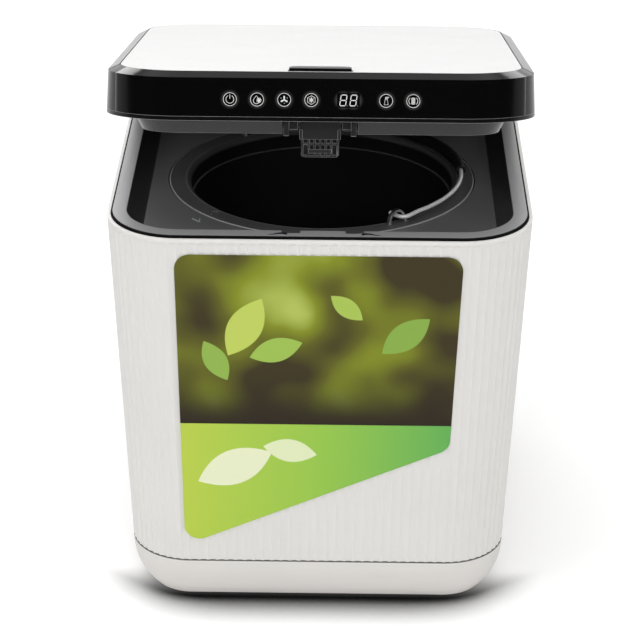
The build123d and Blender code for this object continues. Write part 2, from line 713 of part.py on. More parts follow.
def bail_lug(side):
    """Upright eye that stands on the flange."""
    x, y, turn = lug_place(side)
    foot = LUG_RISE + MOUTH_ROUND / 3
    eye = Rot(0, 90, 0) * Cylinder(EYE_R, EYE_THICK)
    stalk = Pos(0, 0, -foot / 2) * Box(EYE_THICK, 2 * EYE_R, foot)
    hole = Rot(0, 90, 0) * Cylinder(WIRE_R + SHAFT_FIT, 4 * EYE_THICK)
    return Pos(x, y, flange_top + LUG_RISE) * Rot(0, 0, turn) * (eye + stalk - hole)


def rod(start, end, radius):
    """A round rod between two points."""
    line = Line(start, end)
    return extrude(Plane(origin=start, z_dir=line % 0) * Circle(radius), line.length)


def bail_arc(section, span_deg):
    """Turn a section on the bail's circle through an arc about the bail's middle."""
    return Rot(0, 0, -span_deg / 2) * revolve(section, Axis.Z, span_deg)


def bail_section(radius):
    """Round section across the bail's circle, level with its eyes."""
    return Plane(origin=(BAIL_R, 0, flange_top + LUG_RISE), z_dir=(0, 1, 0)) * Circle(radius)


def bail_wire():
    """Wire bail: an arc over the flange whose straight ends turn in through the eyes."""
    z = flange_top + LUG_RISE
    gap_deg = degrees(asin(BAIL_END_SETBACK / BAIL_R))
    wire = bail_arc(bail_section(WIRE_R), 180 - 2 * gap_deg)
    for side in (-1, 1):
        arc_end = (BAIL_END_SETBACK, side * BAIL_R * cos(radians(gap_deg)), z)
        elbow = (0, side * (LUG_R + ELBOW_OUT), z)
        tip = (0, side * (LUG_R - TIP_IN), z)
        wire += rod(arc_end, elbow, WIRE_R) + rod(elbow, tip, WIRE_R)
        wire += Pos(*arc_end) * Sphere(WIRE_R) + Pos(*elbow) * Sphere(WIRE_R)
    return Pos(0, BUCKET_Y, 0) * Rot(0, 0, BAIL_DIR_DEG) * wire


def bail_grip():
    """Sleeve moulded round the bail's middle."""
    sleeve = bail_arc(bail_section(GRIP_R) - bail_section(WIRE_R + SHAFT_FIT), GRIP_SPAN_DEG)
    return Pos(0, BUCKET_Y, 0) * Rot(0, 0, BAIL_DIR_DEG) * sleeve


def bucket_bush():
    """Bearing bush pressed in the bucket's floor."""
    return tube(STIR_SHAFT_R + BUSH_WALL, STIR_SHAFT_R + SHAFT_FIT, bucket_under_z,
                bucket_floor_z + BOSS_HEIGHT, 0, BUCKET_Y)


def breaker_bars():
    """Fixed bars on the bucket's wall that the tines work against."""
    z = bucket_floor_z + BREAKER_RISE
    rise = BREAKER_RISE - BREAKER_THICK / 2
    wall = step_r - BUCKET_TAPER + BUCKET_TAPER * rise / (BUCKET_DEPTH - STEP_DROP)
    end = sqrt(wall ** 2 - (BREAKER_WIDTH / 2) ** 2)
    bars = []
    for k in range(BREAKERS):
        bar = Pos(end - BREAKER_LENGTH / 2, 0, z) * Box(BREAKER_LENGTH, BREAKER_WIDTH, BREAKER_THICK)
        bars.append(Pos(0, BUCKET_Y, 0) * Rot(0, 0, 30 + 360 * k / BREAKERS) * bar)
    return bars


def stirrer_blade():
    """Stirrer: hub with arms and upright tines."""
    z = bucket_floor_z + BOSS_HEIGHT + GEAR_GAP
    hub = tube(STIR_HUB_R, 0, z, z + STIR_HUB_HEIGHT)
    for k in range(STIR_ARMS):
        arm_z = z + STIR_ARM_THICK / 2
        arm = Pos(STIR_ARM_R / 2, 0, arm_z) * Box(STIR_ARM_R, STIR_ARM_WIDTH, STIR_ARM_THICK)
        reach = TINE_RADII[k % 2]
        arm += tube(TINE_R, 0, arm_z, arm_z + TINE_HEIGHT, reach, 0)
        hub += Rot(0, 0, 75 + 360 * k / STIR_ARMS) * arm
    hub -= tube(STIR_SHAFT_R, 0, z - 1, z + STIR_HUB_HEIGHT - 4)
    return Pos(0, BUCKET_Y, 0) * hub


def stirrer_shaft():
    """Stirrer's shaft with the hexagonal socket that takes the drive dog."""
    z0 = pot_floor_z + 1.5
    z_top = bucket_floor_z + BOSS_HEIGHT + GEAR_GAP + STIR_HUB_HEIGHT - 4
    socket_top = bucket_under_z - 0.8
    shaft = tube(STIR_SHAFT_R, 0, socket_top - 1, z_top)
    shaft += tube(SOCKET_R, 0, z0, socket_top)
    hexagon = RegularPolygon((DOG_AF + DOG_FIT) / 2, 6, major_radius=False)
    shaft -= extrude(Pos(0, 0, z0 - 1) * hexagon, dog_z + DOG_LENGTH + 1.5 - z0)
    return Pos(0, BUCKET_Y, 0) * shaft


# ---------------------------------------------------------------- drive train
def drive_shaft():
    """Output shaft with its hexagonal dog."""
    shaft = tube(SHAFT_R, 0, gearbox_bottom + 1, dog_z)
    shaft += extrude(Pos(0, 0, dog_z) * RegularPolygon(DOG_AF / 2, 6, major_radius=False), DOG_LENGTH)
    return Pos(0, BUCKET_Y, 0) * shaft


def output_gear():
    """Large gear on the output shaft; a tooth points at the idler."""
    gear = involute_gear(OUTPUT_TEETH, OUTPUT_MODULE, GEAR_THICK, 180, SHAFT_R)
    return Pos(0, BUCKET_Y, output_gear_z) * gear


def idler_gear():
    """Compound gear: a pinion that drives the output gear, under a larger fine gear."""
    pinion = involute_gear(IDLER_PINION_TEETH, OUTPUT_MODULE, GEAR_THICK + GEAR_GAP,
                           180 / IDLER_PINION_TEETH, IDLER_SHAFT_R + SHAFT_FIT)
    fine = involute_gear(IDLER_TEETH, MOTOR_MODULE, FINE_GEAR_THICK, 180,
                         IDLER_SHAFT_R + SHAFT_FIT)
    compound = Pos(0, 0, output_gear_z) * pinion + Pos(0, 0, idler_gear_z) * fine
    return Pos(idler_x, BUCKET_Y, 0) * compound


def idler_shaft():
    """Fixed pin that the compound gear turns on."""
    return tube(IDLER_SHAFT_R, 0, gearbox_bottom + 1, gearbox_top - 1, idler_x, BUCKET_Y)


def motor_pinion():
    """Pinion on the motor's shaft; a gap points at the idler."""
    gear = involute_gear(MOTOR_TEETH, MOTOR_MODULE, FINE_GEAR_THICK, 180 / MOTOR_TEETH, MOTOR_SHAFT_R)
    return Pos(motor_x, BUCKET_Y, idler_gear_z) * gear


def motor_shaft():
    """Motor shaft that carries the pinion."""
    return tube(MOTOR_SHAFT_R, 0, gearbox_bottom - 9, idler_gear_z + FINE_GEAR_THICK, motor_x, BUCKET_Y)


def motor_can():
    """Motor hanging under the gearbox, with its ribbed can."""
    z0 = TRAY_BOTTOM + TRAY_WALL + MOTOR_FLOOR_GAP
    can = tube(MOTOR_R, 0, z0, gearbox_bottom, motor_x, BUCKET_Y)
    for k in range(3):
        z = z0 + 10 + 12 * k
        can -= tube(MOTOR_R + 1, MOTOR_R - 1, z, z + 3, motor_x, BUCKET_Y)
    bore = tube(MOTOR_SHAFT_R + SHAFT_FIT, 0, gearbox_bottom - 10, gearbox_bottom + 1, motor_x, BUCKET_Y)
    return can - bore


def gearbox_extent():
    """Plan limits of the gearbox: x0, x1, y0, y1."""
    wall = GEARBOX_WALL + GEAR_GAP
    output_tip = OUTPUT_MODULE * (OUTPUT_TEETH / 2 + 1)
    motor_tip = MOTOR_MODULE * (MOTOR_TEETH / 2 + 1)
    screw_room = 5.0
    half = output_tip + wall + screw_room
    return (motor_x - motor_tip - wall, output_tip + wall + screw_room,
            BUCKET_Y - half, BUCKET_Y + half)


def gearbox_corners():
    """Plan positions of the gearbox's four screws."""
    x0, x1, y0, y1 = gearbox_extent()
    inset = 5.0
    return [(x, y) for x in (x0 + inset, x1 - inset) for y in (y0 + inset, y1 - inset)]


def gearbox_housing():
    """Open-topped gearbox with corner bosses."""
    x0, x1, y0, y1 = gearbox_extent()
    wall = GEARBOX_WALL
    z0, z1 = gearbox_bottom, gearbox_top - wall
    housing = box(x0, x1, y0, y1, z0, z1)
    housing -= box(x0 + wall, x1 - wall, y0 + wall, y1 - wall, z0 + wall, z1 + 1)
    for x, y in gearbox_corners():
        boss = tube(5.0, 0, z0, z1, x, y)
        housing += boss
        housing -= tube(SCREW_R + 0.2, 0, z0 - 1, z1 + 1, x, y)
    housing -= tube(SHAFT_R + BEARING_WALL, 0, z0 - 1, z0 + wall + 1, 0, BUCKET_Y)
    housing -= tube(IDLER_SHAFT_R, 0, z0 + 1, z0 + wall + 1, idler_x, BUCKET_Y)
    housing -= tube(MOTOR_SHAFT_R + 1, 0, z0 - 1, z0 + wall + 1, motor_x, BUCKET_Y)
    return housing


def gearbox_cover():
    """Flat cover of the gearbox."""
    x0, x1, y0, y1 = gearbox_extent()
    z0 = gearbox_top - GEARBOX_WALL
    cover = box(x0, x1, y0, y1, z0, gearbox_top)
    for x, y in gearbox_corners():
        cover -= tube(SCREW_R + 0.2, 0, z0 - 1, gearbox_top + 1, x, y)
    cover -= tube(SHAFT_R + BEARING_WALL, 0, z0 - 1, gearbox_top + 1, 0, BUCKET_Y)
    cover -= tube(IDLER_SHAFT_R, 0, z0 - 1, gearbox_top - 1, idler_x, BUCKET_Y)
    return cover


def output_bearings():
    """The two bearings of the output shaft."""
    rings = []
    for z in (gearbox_bottom, gearbox_top - GEARBOX_WALL):
        rings.append(tube(SHAFT_R + BEARING_WALL, SHAFT_R + SHAFT_FIT, z, z + GEARBOX_WALL, 0, BUCKET_Y))
    return rings


# ---------------------------------------------------------------- rear: filter, fan, inlet
def rear_plate(x0, x1, z0, z1, thick, gap):
    """A plate flush with the casing's leaning rear face, drawn in by gap at its edges."""
    slab = casing_solid(0, SEAM_HEIGHT, casing_top) - casing_solid(thick, SEAM_HEIGHT - 1, casing_top + 1)
    return slab & box(x0 + gap, x1 - gap, 0, DEPTH, z0 + gap, z1 - gap)


def filter_opening(gap):
    """Block that passes the casing's rear wall where the filter drawer goes in."""
    return box(-FILTER_HALF - gap, FILTER_HALF + gap, DEPTH / 4, DEPTH,
               filter_bottom - gap, filter_top + gap)


def grille_opening(gap):
    """Block that passes the casing's rear wall behind the fan."""
    half = FAN_SIZE / 2
    return box(-half - gap, half + gap, DEPTH / 4, DEPTH,
               fan_bottom - gap, fan_bottom + FAN_SIZE + gap)


def inlet_opening(gap):
    """Block that passes the casing's rear wall at the power inlet."""
    half_w = INLET_HALF + INLET_WALL
    half_h = INLET_HEIGHT / 2 + INLET_WALL
    return box(INLET_X - half_w - gap, INLET_X + half_w + gap, DEPTH / 4, DEPTH,
               INLET_Z - half_h - gap, INLET_Z + half_h + gap)


def filter_bay():
    """Housing that the filter drawer slides in, open to the ducts above and below."""
    y0 = bay_front_y - FIT
    y1 = DEPTH / 2
    half = FILTER_HALF
    z0, z1 = filter_bottom, filter_top
    bay = box(-half - BAY_WALL, half + BAY_WALL, y0 - BAY_WALL, y1, z0 - BAY_WALL, z1 + BAY_WALL)
    bay -= box(-half, half, y0, y1 + 1, z0, z1)
    bay = bay & casing_solid(CASING_WALL, SEAM_HEIGHT, casing_top)
    mouth = DUCT_HALF - BAY_WALL
    bay -= box(-mouth, mouth, duct_front_y + BAY_WALL, duct_front_y + DUCT_DEPTH - BAY_WALL, z1 - 1, z1 + 3)
    bay -= box(-mouth, mouth, duct_front_y + BAY_WALL, fan_front_y() - BAY_WALL, z0 - 3, z0 + 1)
    return bay


def intake_duct():
    """Duct from the deck's vents to the filter bay."""
    z0 = filter_top + BAY_WALL
    z1 = deck_z - DECK_WALL
    y1 = duct_front_y + DUCT_DEPTH
    duct = box(-DUCT_HALF, DUCT_HALF, duct_front_y, y1, z0, z1)
    return duct - box(-DUCT_HALF + BAY_WALL, DUCT_HALF - BAY_WALL, duct_front_y + BAY_WALL,
                      y1 - BAY_WALL, z0 - 1, z1 + 1)


def fan_front_y():
    """Front face of the fan's frame."""
    return DEPTH / 2 - casing_lean(fan_bottom) - CASING_WALL - FIT - FAN_THICK


def exhaust_duct():
    """Duct from the filter bay down to the fan."""
    z0 = fan_bottom
    z1 = filter_bottom - BAY_WALL
    y1 = fan_front_y()
    duct = box(-DUCT_HALF, DUCT_HALF, duct_front_y, y1, z0, z1)
    duct -= box(-DUCT_HALF + BAY_WALL, DUCT_HALF - BAY_WALL, duct_front_y + BAY_WALL,
                y1 - BAY_WALL, z0 + BAY_WALL, z1 + 1)
    return duct - fan_bore(y1 - BAY_WALL - 1, y1 + 1)


def fan_bore(y0, y1):
    """Round passage through the fan, along Y."""
    radius = FAN_SIZE / 2 - 2
    place = Pos(0, (y0 + y1) / 2, fan_bottom + FAN_SIZE / 2) * Rot(90, 0, 0)
    return place * Cylinder(radius, y1 - y0)


def fan_frame():
    """Square fan frame with its spokes, axle and corner holes."""
    y0 = fan_front_y()
    y1 = y0 + FAN_THICK
    half = FAN_SIZE / 2
    middle = fan_bottom + half
    frame = box(-half, half, y0, y1, fan_bottom, fan_bottom + FAN_SIZE) - fan_bore(y0 - 1, y1 + 1)
    spokes = box(-half, half, y1 - 2.5, y1, middle - 1.5, middle + 1.5)
    spokes += box(-1.5, 1.5, y1 - 2.5, y1, fan_bottom, fan_bottom + FAN_SIZE)
    spokes += Pos(0, y1 - 1.25, middle) * Rot(90, 0, 0) * Cylinder(FAN_HUB_R, 2.5)
    frame += spokes & (frame + fan_bore(y0, y1))
    return frame + Pos(0, (y0 + y1) / 2 + 1, middle) * Rot(90, 0, 0) * Cylinder(2, FAN_THICK - 4)


def fan_impeller():
    """Fan wheel: hub with pitched blades."""
    y0 = fan_front_y() + 0.8
    depth = FAN_THICK - 2.5 - 1.8
    hub = Cylinder(FAN_HUB_R, depth) - Pos(0, 0, -1) * Cylinder(2 + SHAFT_FIT, depth)
    tip = FAN_SIZE / 2 - 2 - FAN_TIP_GAP
    blade_length = tip - FAN_HUB_R + 2
    for k in range(FAN_BLADES):
        blade = Pos(FAN_HUB_R - 2 + blade_length / 2, 0, 0) * Rot(38, 0, 0) * Box(blade_length, 11, 1.4)
        hub += Rot(0, 0, 360 * k / FAN_BLADES) * (blade & Cylinder(tip, depth))
    return Pos(0, y0 + depth / 2, fan_bottom + FAN_SIZE / 2) * Rot(90, 0, 0) * hub


def rear_grille():
    """Slotted exhaust grille, flush with the casing's rear face."""
    half = FAN_SIZE / 2
    z1 = fan_bottom + FAN_SIZE
    plate = rear_plate(-half, half, fan_bottom, z1, CASING_WALL, 0.1)
    pitch = (FAN_SIZE - 6) / GRILLE_SLOTS
    for k in range(GRILLE_SLOTS):
        z = fan_bottom + 3 + pitch * (k + 0.5)
        plate -= box(-half + 5, half - 5, DEPTH / 4, DEPTH, z - GRILLE_SLOT / 2, z + GRILLE_SLOT / 2)
    return plate


def filter_drawer():
    """Filter drawer: a tray with a front flush with the casing and a finger pull."""
    half = FILTER_HALF - FIT
    z0, z1 = filter_bottom + FIT, filter_top - FIT
    y0 = bay_front_y
    drawer = box(-half, half, y0, DEPTH / 2, z0, z1)
    hollow_top = z1 - PULL_HEIGHT - DRAWER_WALL
    y_front = DEPTH / 2 - casing_lean(filter_bottom) - CASING_WALL - 1
    drawer -= box(-half + DRAWER_WALL, half - DRAWER_WALL, y0 + DRAWER_WALL, y_front - PULL_DEPTH,
                  z0 + DRAWER_WALL, z1 + 1)
    drawer -= box(-half + DRAWER_WALL, half - DRAWER_WALL, y_front - PULL_DEPTH - 1, y_front,
                  z0 + DRAWER_WALL, hollow_top)
    drawer = drawer & casing_solid(0, SEAM_HEIGHT, casing_top)
    pull = box(-PULL_HALF, PULL_HALF, y_front - PULL_DEPTH + DRAWER_WALL, DEPTH,
               z1 - PULL_HEIGHT, z1 - DRAWER_WALL)
    drawer -= pull
    for k in range(9):
        x = -DUCT_HALF + 6 + k * 6
        drawer -= box(x - 1.5, x + 1.5, duct_front_y + 4, y_front - PULL_DEPTH - 4, z0 - 1, z0 + 3)
    return drawer


def carbon_block():
    """Activated carbon fill of the drawer."""
    half = FILTER_HALF - FIT - DRAWER_WALL
    z0 = filter_bottom + FIT + DRAWER_WALL
    y0 = bay_front_y + DRAWER_WALL
    y1 = DEPTH / 2 - casing_lean(filter_bottom) - CASING_WALL - 1 - PULL_DEPTH
    z1 = filter_top - FIT - 8
    return box(-half + 0.2, half - 0.2, y0 + 0.2, y1 - 0.2, z0, z1)


def power_inlet():
    """Mains inlet: a socket with three blades in its cavity."""
    half_w = INLET_HALF + INLET_WALL
    half_h = INLET_HEIGHT / 2 + INLET_WALL
    y_face = DEPTH / 2 - casing_lean(INLET_Z)
    y_back = y_face - INLET_DEPTH - INLET_WALL
    body = box(INLET_X - half_w + 0.1, INLET_X + half_w - 0.1, y_back, DEPTH,
               INLET_Z - half_h + 0.1, INLET_Z + half_h - 0.1)
    body = body & casing_solid(0, SEAM_HEIGHT, casing_top)
    body -= box(INLET_X - INLET_HALF, INLET_X + INLET_HALF, y_back + INLET_WALL, DEPTH,
                INLET_Z - INLET_HEIGHT / 2, INLET_Z + INLET_HEIGHT / 2)
    for dx, dz in ((-7, -1.5), (0, 2.5), (7, -1.5)):
        x, z = INLET_X + dx, INLET_Z + dz
        body += box(x - 1, x + 1, y_back, y_back + INLET_WALL + BLADE_LENGTH, z - 2, z + 2)
    return body


def board_bracket():
    """Plate that stands on the tray and carries the power board."""
    x0, x1 = BOARD_X - BOARD_HALF, BOARD_X + BOARD_HALF
    plate = box(x0, x1, board_y, board_y + BRACKET_THICK, TRAY_BOTTOM + TRAY_WALL, BOARD_BOTTOM + BOARD_HEIGHT)
    cut_half = INLET_HALF + INLET_WALL + INLET_CLEAR
    cut_rise = INLET_HEIGHT / 2 + INLET_WALL + INLET_CLEAR
    plate -= box(INLET_X - cut_half, INLET_X + cut_half, board_y - 1, board_y + BRACKET_THICK + 1,
                 INLET_Z - cut_rise, INLET_Z + cut_rise)
    for x in (x0 + SPACER_INSET, x1 - SPACER_INSET):
        for z in (BOARD_BOTTOM + SPACER_INSET, BOARD_BOTTOM + BOARD_HEIGHT - SPACER_INSET):
            plate += Pos(x, board_y - SPACER_HEIGHT / 2, z) * Rot(90, 0, 0) * Cylinder(SPACER_R, SPACER_HEIGHT)
    return plate


def board_face_y():
    """Front face of the power board, which its parts stand on."""
    return board_y - SPACER_HEIGHT - BOARD_THICK


def power_board():
    """Circuit board on the bracket's spacers."""
    y = board_face_y()
    return box(BOARD_X - BOARD_HALF, BOARD_X + BOARD_HALF, y, y + BOARD_THICK,
               BOARD_BOTTOM, BOARD_BOTTOM + BOARD_HEIGHT)


def board_parts():
    """Transformer, relays and capacitors on the power board."""
    y = board_face_y()
    wide, proud, tall = TRANSFORMER
    middle = BOARD_X + TRANSFORMER_SHIFT
    low = BOARD_BOTTOM + TRANSFORMER_RISE
    parts = [box(middle - wide / 2, middle + wide / 2, y - proud, y, low, low + tall)]
    wide, proud, tall = RELAY
    low = BOARD_BOTTOM + RELAY_RISE
    for k in range(RELAYS):
        x = BOARD_X + RELAY_SHIFT + RELAY_STEP * (k - (RELAYS - 1) / 2)
        parts.append(box(x - wide / 2, x + wide / 2, y - proud, y, low, low + tall))
    for k in range(CAPACITORS):
        place = Pos(BOARD_X + CAPACITOR_SHIFT, y - CAPACITOR_LENGTH / 2,
                    BOARD_BOTTOM + CAPACITOR_RISE + CAPACITOR_STEP * k)
        parts.append(place * Rot(90, 0, 0) * Cylinder(CAPACITOR_R, CAPACITOR_LENGTH))
    return parts


# ---------------------------------------------------------------- lid
def lid_shell():
    """Gloss ring of the lid: sides, chamfered border and the web under the panel."""
    z0 = lid_z + LIP_THICK
    shoulder = lid_top - CHAMFER_HEIGHT
    outer = lid_block(0, z0, shoulder)
    outer += loft([lid_plan(0, SIDE_LEAN, shoulder), lid_plan(CHAMFER_WIDTH, panel_lean, lid_top)],
                  ruled=True)
    web_z = lid_top - PANEL_THICK - TOP_WEB
    outer -= extrude(lid_plan(LID_WALL, SIDE_LEAN, z0 - 1), web_z - z0 + 1)
    outer -= extrude(lid_plan(CHAMFER_WIDTH, panel_lean, lid_top - PANEL_THICK), PANEL_THICK + 1)
    outer -= button_bore(0.4, web_z - 1, lid_top + 1)
    outer -= fascia_band(0, FASCIA_THICK)
    for x in led_places():
        outer -= box(x - LED_SIZE / 2 - 0.3, x + LED_SIZE / 2 + 0.3, front_y - 1, front_y + LID_WALL + 1,
                     lid_z + ICON_RISE - LED_SIZE / 2 - 0.3, lid_z + ICON_RISE + LED_SIZE / 2 + 0.3)
    for x, y in lid_screw_places():
        outer += tube(BOSS_POST_R - 1, 0, lid_z + DOME_RISE + PLUG_WALL, web_z + 1, x, y)
        outer -= tube(SCREW_R + 0.05, 0, lid_z + DOME_RISE, lid_z + DOME_RISE + LID_SCREW_LENGTH + 1, x, y)
    for side in (-1, 1):
        half = HINGE_SPAN / 2 + 3.0
        outer += box(side * HINGE_X - half, side * HINGE_X + half, DEPTH / 2 - PLUG_INSET - PLUG_WALL,
                     DEPTH / 2 - LID_WALL / 2, z0, web_z + 1)
    outer -= heel_cut()
    for pocket in hinge_pockets():
        outer -= pocket
    return outer


def fascia_band(inset_out, inset_in):
    """Band on the lid's front that the fascia fills, between two insets."""
    z0, z1 = lid_z + LIP_THICK, lid_top - CHAMFER_HEIGHT
    band = lid_block(inset_out, z0, z1) - lid_block(inset_in, z0, z1)
    return band & box(-FASCIA_HALF, FASCIA_HALF, front_y - 1, front_y + CORNER_R, z0, z1)


def icon_places():
    """X positions of the six round icons."""
    left = [ICON_START + ICON_STEP * k for k in range(4)]
    right = [RIGHT_ICONS_X + ICON_STEP * k for k in range(2)]
    return left + right


def led_places():
    """X positions of the lamps behind the icons and the digits."""
    return icon_places() + [DIGITS_X]


def icon_discs(depth, grow):
    """Discs at the icons' places, from the front face inwards."""
    return [
        Pos(x, front_y + depth / 2, lid_z + ICON_RISE) * Rot(90, 0, 0) * Cylinder(ICON_R + grow, depth)
        for x in icon_places()
    ]


def digit_block(depth, grow):
    """Rectangle at the digits' place, from the front face inwards."""
    half_w, half_h = DIGITS_WIDTH / 2 + grow, DIGITS_HEIGHT / 2 + grow
    z = lid_z + ICON_RISE
    return box(DIGITS_X - half_w, DIGITS_X + half_w, front_y, front_y + depth, z - half_h, z + half_h)


def control_fascia():
    """Clear-faced black strip that wraps the front of the lid."""
    strip = fascia_band(0, FASCIA_THICK)
    for disc in icon_discs(ICON_DEPTH, 0):
        strip -= disc
    return strip - digit_block(ICON_DEPTH, 0)


def lid_top_panel():
    """White panel let into the lid's top."""
    inset = CHAMFER_WIDTH + PANEL_GAP
    panel = extrude(lid_plan(inset, panel_lean, lid_top - PANEL_THICK), PANEL_THICK)
    return panel - button_bore(0.4, lid_top - PANEL_THICK - 1, lid_top + 1)


def button_plan(grow):
    """The button's outline: straight in front, rounded behind."""
    half = BUTTON_WIDTH / 2 + grow
    plan = Pos(0, button_mid_y) * Rectangle(2 * half, BUTTON_DEPTH + 2 * grow)
    rear = plan.vertices().sort_by(Axis.Y)[-2:]
    return fillet(rear, BUTTON_CORNER)


def button_bore(grow, z0, z1):
    """The button's outline as a block between two heights."""
    return extrude(Pos(0, 0, z0) * button_plan(grow), z1 - z0)


def release_button():
    """Release button: a cap with a flange that keeps it in the lid and a pushing stem."""
    web_low = lid_top - PANEL_THICK - TOP_WEB
    cap = button_bore(0, web_low - BUTTON_FLANGE, lid_top + BUTTON_PROUD)
    half = BUTTON_WIDTH / 2 + 1.6
    flange_front = button_y - 1.6
    cap += box(-half, half, flange_front, button_y + BUTTON_DEPTH + 1.6, web_low - BUTTON_FLANGE, web_low - 0.1)
    stem_low = pivot_z + PIVOT_R + ARM_RISE + STEM_GAP
    cap += box(-STEM_WIDTH / 2, STEM_WIDTH / 2, button_mid_y - STEM_DEPTH / 2,
               button_mid_y + STEM_DEPTH / 2, stem_low, web_low - 1)
    return cap


def button_springs():
    """Two coil springs that push the button up; each turn is a plain ring on one post."""
    web_low = lid_top - PANEL_THICK - TOP_WEB
    top = web_low - BUTTON_FLANGE - SPRING_WIRE
    low = lid_z + LIP_THICK + SPRING_WIRE
    parts = []
    for side in (-1, 1):
        x = side * (BUTTON_WIDTH / 2 - 4)
        pitch = (top - low) / SPRING_TURNS
        coil = Helix(pitch=pitch, height=top - low, radius=SPRING_R - SPRING_WIRE)
        start = Plane(origin=coil @ 0, z_dir=coil % 0)
        spring = sweep(start * Circle(SPRING_WIRE), path=coil, is_frenet=True)
        parts.append(Pos(x, button_mid_y, low) * spring)
    return parts


def inner_lid():
    """Grey lower half of the lid: lip, tapering plug, round recess and latch notch."""
    lip = lid_block(0, lid_z, lid_z + LIP_THICK)
    plug_low = lid_z - PLUG_DEPTH
    low_in = PLUG_INSET + PLUG_SLOPE
    plug = loft([lid_plan(low_in, 0, plug_low), lid_plan(PLUG_INSET, 0, lid_z)], ruled=True)
    hollow = loft([
        lid_plan(low_in + PLUG_WALL, 0, plug_low + PLUG_WALL),
        lid_plan(PLUG_INSET + PLUG_WALL, 0, lid_z),
    ], ruled=True)
    top_in = PLUG_INSET + PLUG_WALL
    hollow += extrude(lid_plan(top_in, 0, lid_z), LIP_THICK + 1)
    pan = lip + plug - hollow
    dome_top = lid_z + DOME_RISE
    pan += tube(DOME_R + PLUG_WALL, 0, plug_low, dome_top + PLUG_WALL, 0, BUCKET_Y)
    pan -= tube(DOME_R, 0, plug_low - 1, dome_top, 0, BUCKET_Y)
    pan -= box(-NOTCH_HALF, NOTCH_HALF, front_y + PLUG_INSET - 3, front_y + PLUG_INSET + HOUSING_DEPTH,
               plug_low - 1, lid_z)
    pan -= box(-NOTCH_HALF, NOTCH_HALF, front_y + top_in, front_y + PLUG_INSET + HOUSING_DEPTH,
               plug_low - 1, dome_top + PLUG_WALL + 1)
    pan -= lid_ring(SEAL_INSET, SEAL_INSET + SEAL_WIDTH, lid_z - 1, lid_z + SEAL_SEAT)
    for x, y in lid_screw_places():
        pan -= tube(SCREW_R + 0.2, 0, plug_low, dome_top + PLUG_WALL + 1, x, y)
    pan -= heel_cut()
    for pocket in hinge_pockets():
        pan -= pocket
    return pan


def lid_gasket():
    """Silicone seal let into the lip; it lands on the rim's band."""
    seal = lid_ring(SEAL_INSET, SEAL_INSET + SEAL_WIDTH, lid_z - SEAL_PROUD, lid_z + SEAL_SEAT)
    for pocket in hinge_pockets():
        seal -= pocket
    return seal.solids()


def display_board():
    """Board with the touch pads and lamps, behind the lid's front wall."""
    y0 = front_y + LID_WALL
    z = lid_z + ICON_RISE
    return box(ICON_START - 12, RIGHT_ICONS_X + ICON_STEP + 12, y0, y0 + BOARD_THICK, z - 8, z + 12)


def indicator_lamps():
    """Lamps on the display board, behind each icon and the digits."""
    y0 = front_y + FASCIA_THICK
    z = lid_z + ICON_RISE
    half = LED_SIZE / 2
    return [box(x - half, x + half, y0, front_y + LID_WALL, z - half, z + half) for x in led_places()]


def latch_housing():
    """Plate in the lid's notch with the latch's pivot ears, two guide posts and two stops."""
    y0 = front_y + PLUG_INSET + PLUG_WALL
    y1 = front_y + PLUG_INSET + HOUSING_DEPTH
    half = NOTCH_HALF - 0.1
    plate = box(-half, half, y0, y1, lid_z, lid_z + LIP_THICK)
    hole_half = TONGUE_HALF + 1.0
    plate -= box(-hole_half, hole_half, tongue_y - 1.4, tongue_y + TONGUE_THICK + 1.8,
                 lid_z - 1, lid_z + LIP_THICK + 1)
    for side in (-1, 1):
        ear_in, ear_out = hole_half + 0.2, hole_half + 3.2
        x0, x1 = sorted((side * ear_in, side * ear_out))
        ear = box(x0, x1, pivot_y - 5, pivot_y + 5, lid_z + LIP_THICK - 1, pivot_z + 4)
        ear -= cylinder_x(PIVOT_R, x0 - 1, x1 + 1, pivot_y, pivot_z)
        plate += ear
        x = side * POST_X
        post_front = front_y + RIM_BAND + 0.4
        plate += box(x - POST_WIDTH / 2, x + POST_WIDTH / 2, post_front, y0 + 2, lid_z - POST_DROP, lid_z)
        x0, x1 = sorted((side * (HOOK_X - HOOK_WIDTH / 2), side * (HOOK_X + HOOK_WIDTH / 2)))
        plate += box(x0, x1, y0, y0 + 6, lid_z - HOOK_DROP, lid_z)
    return plate


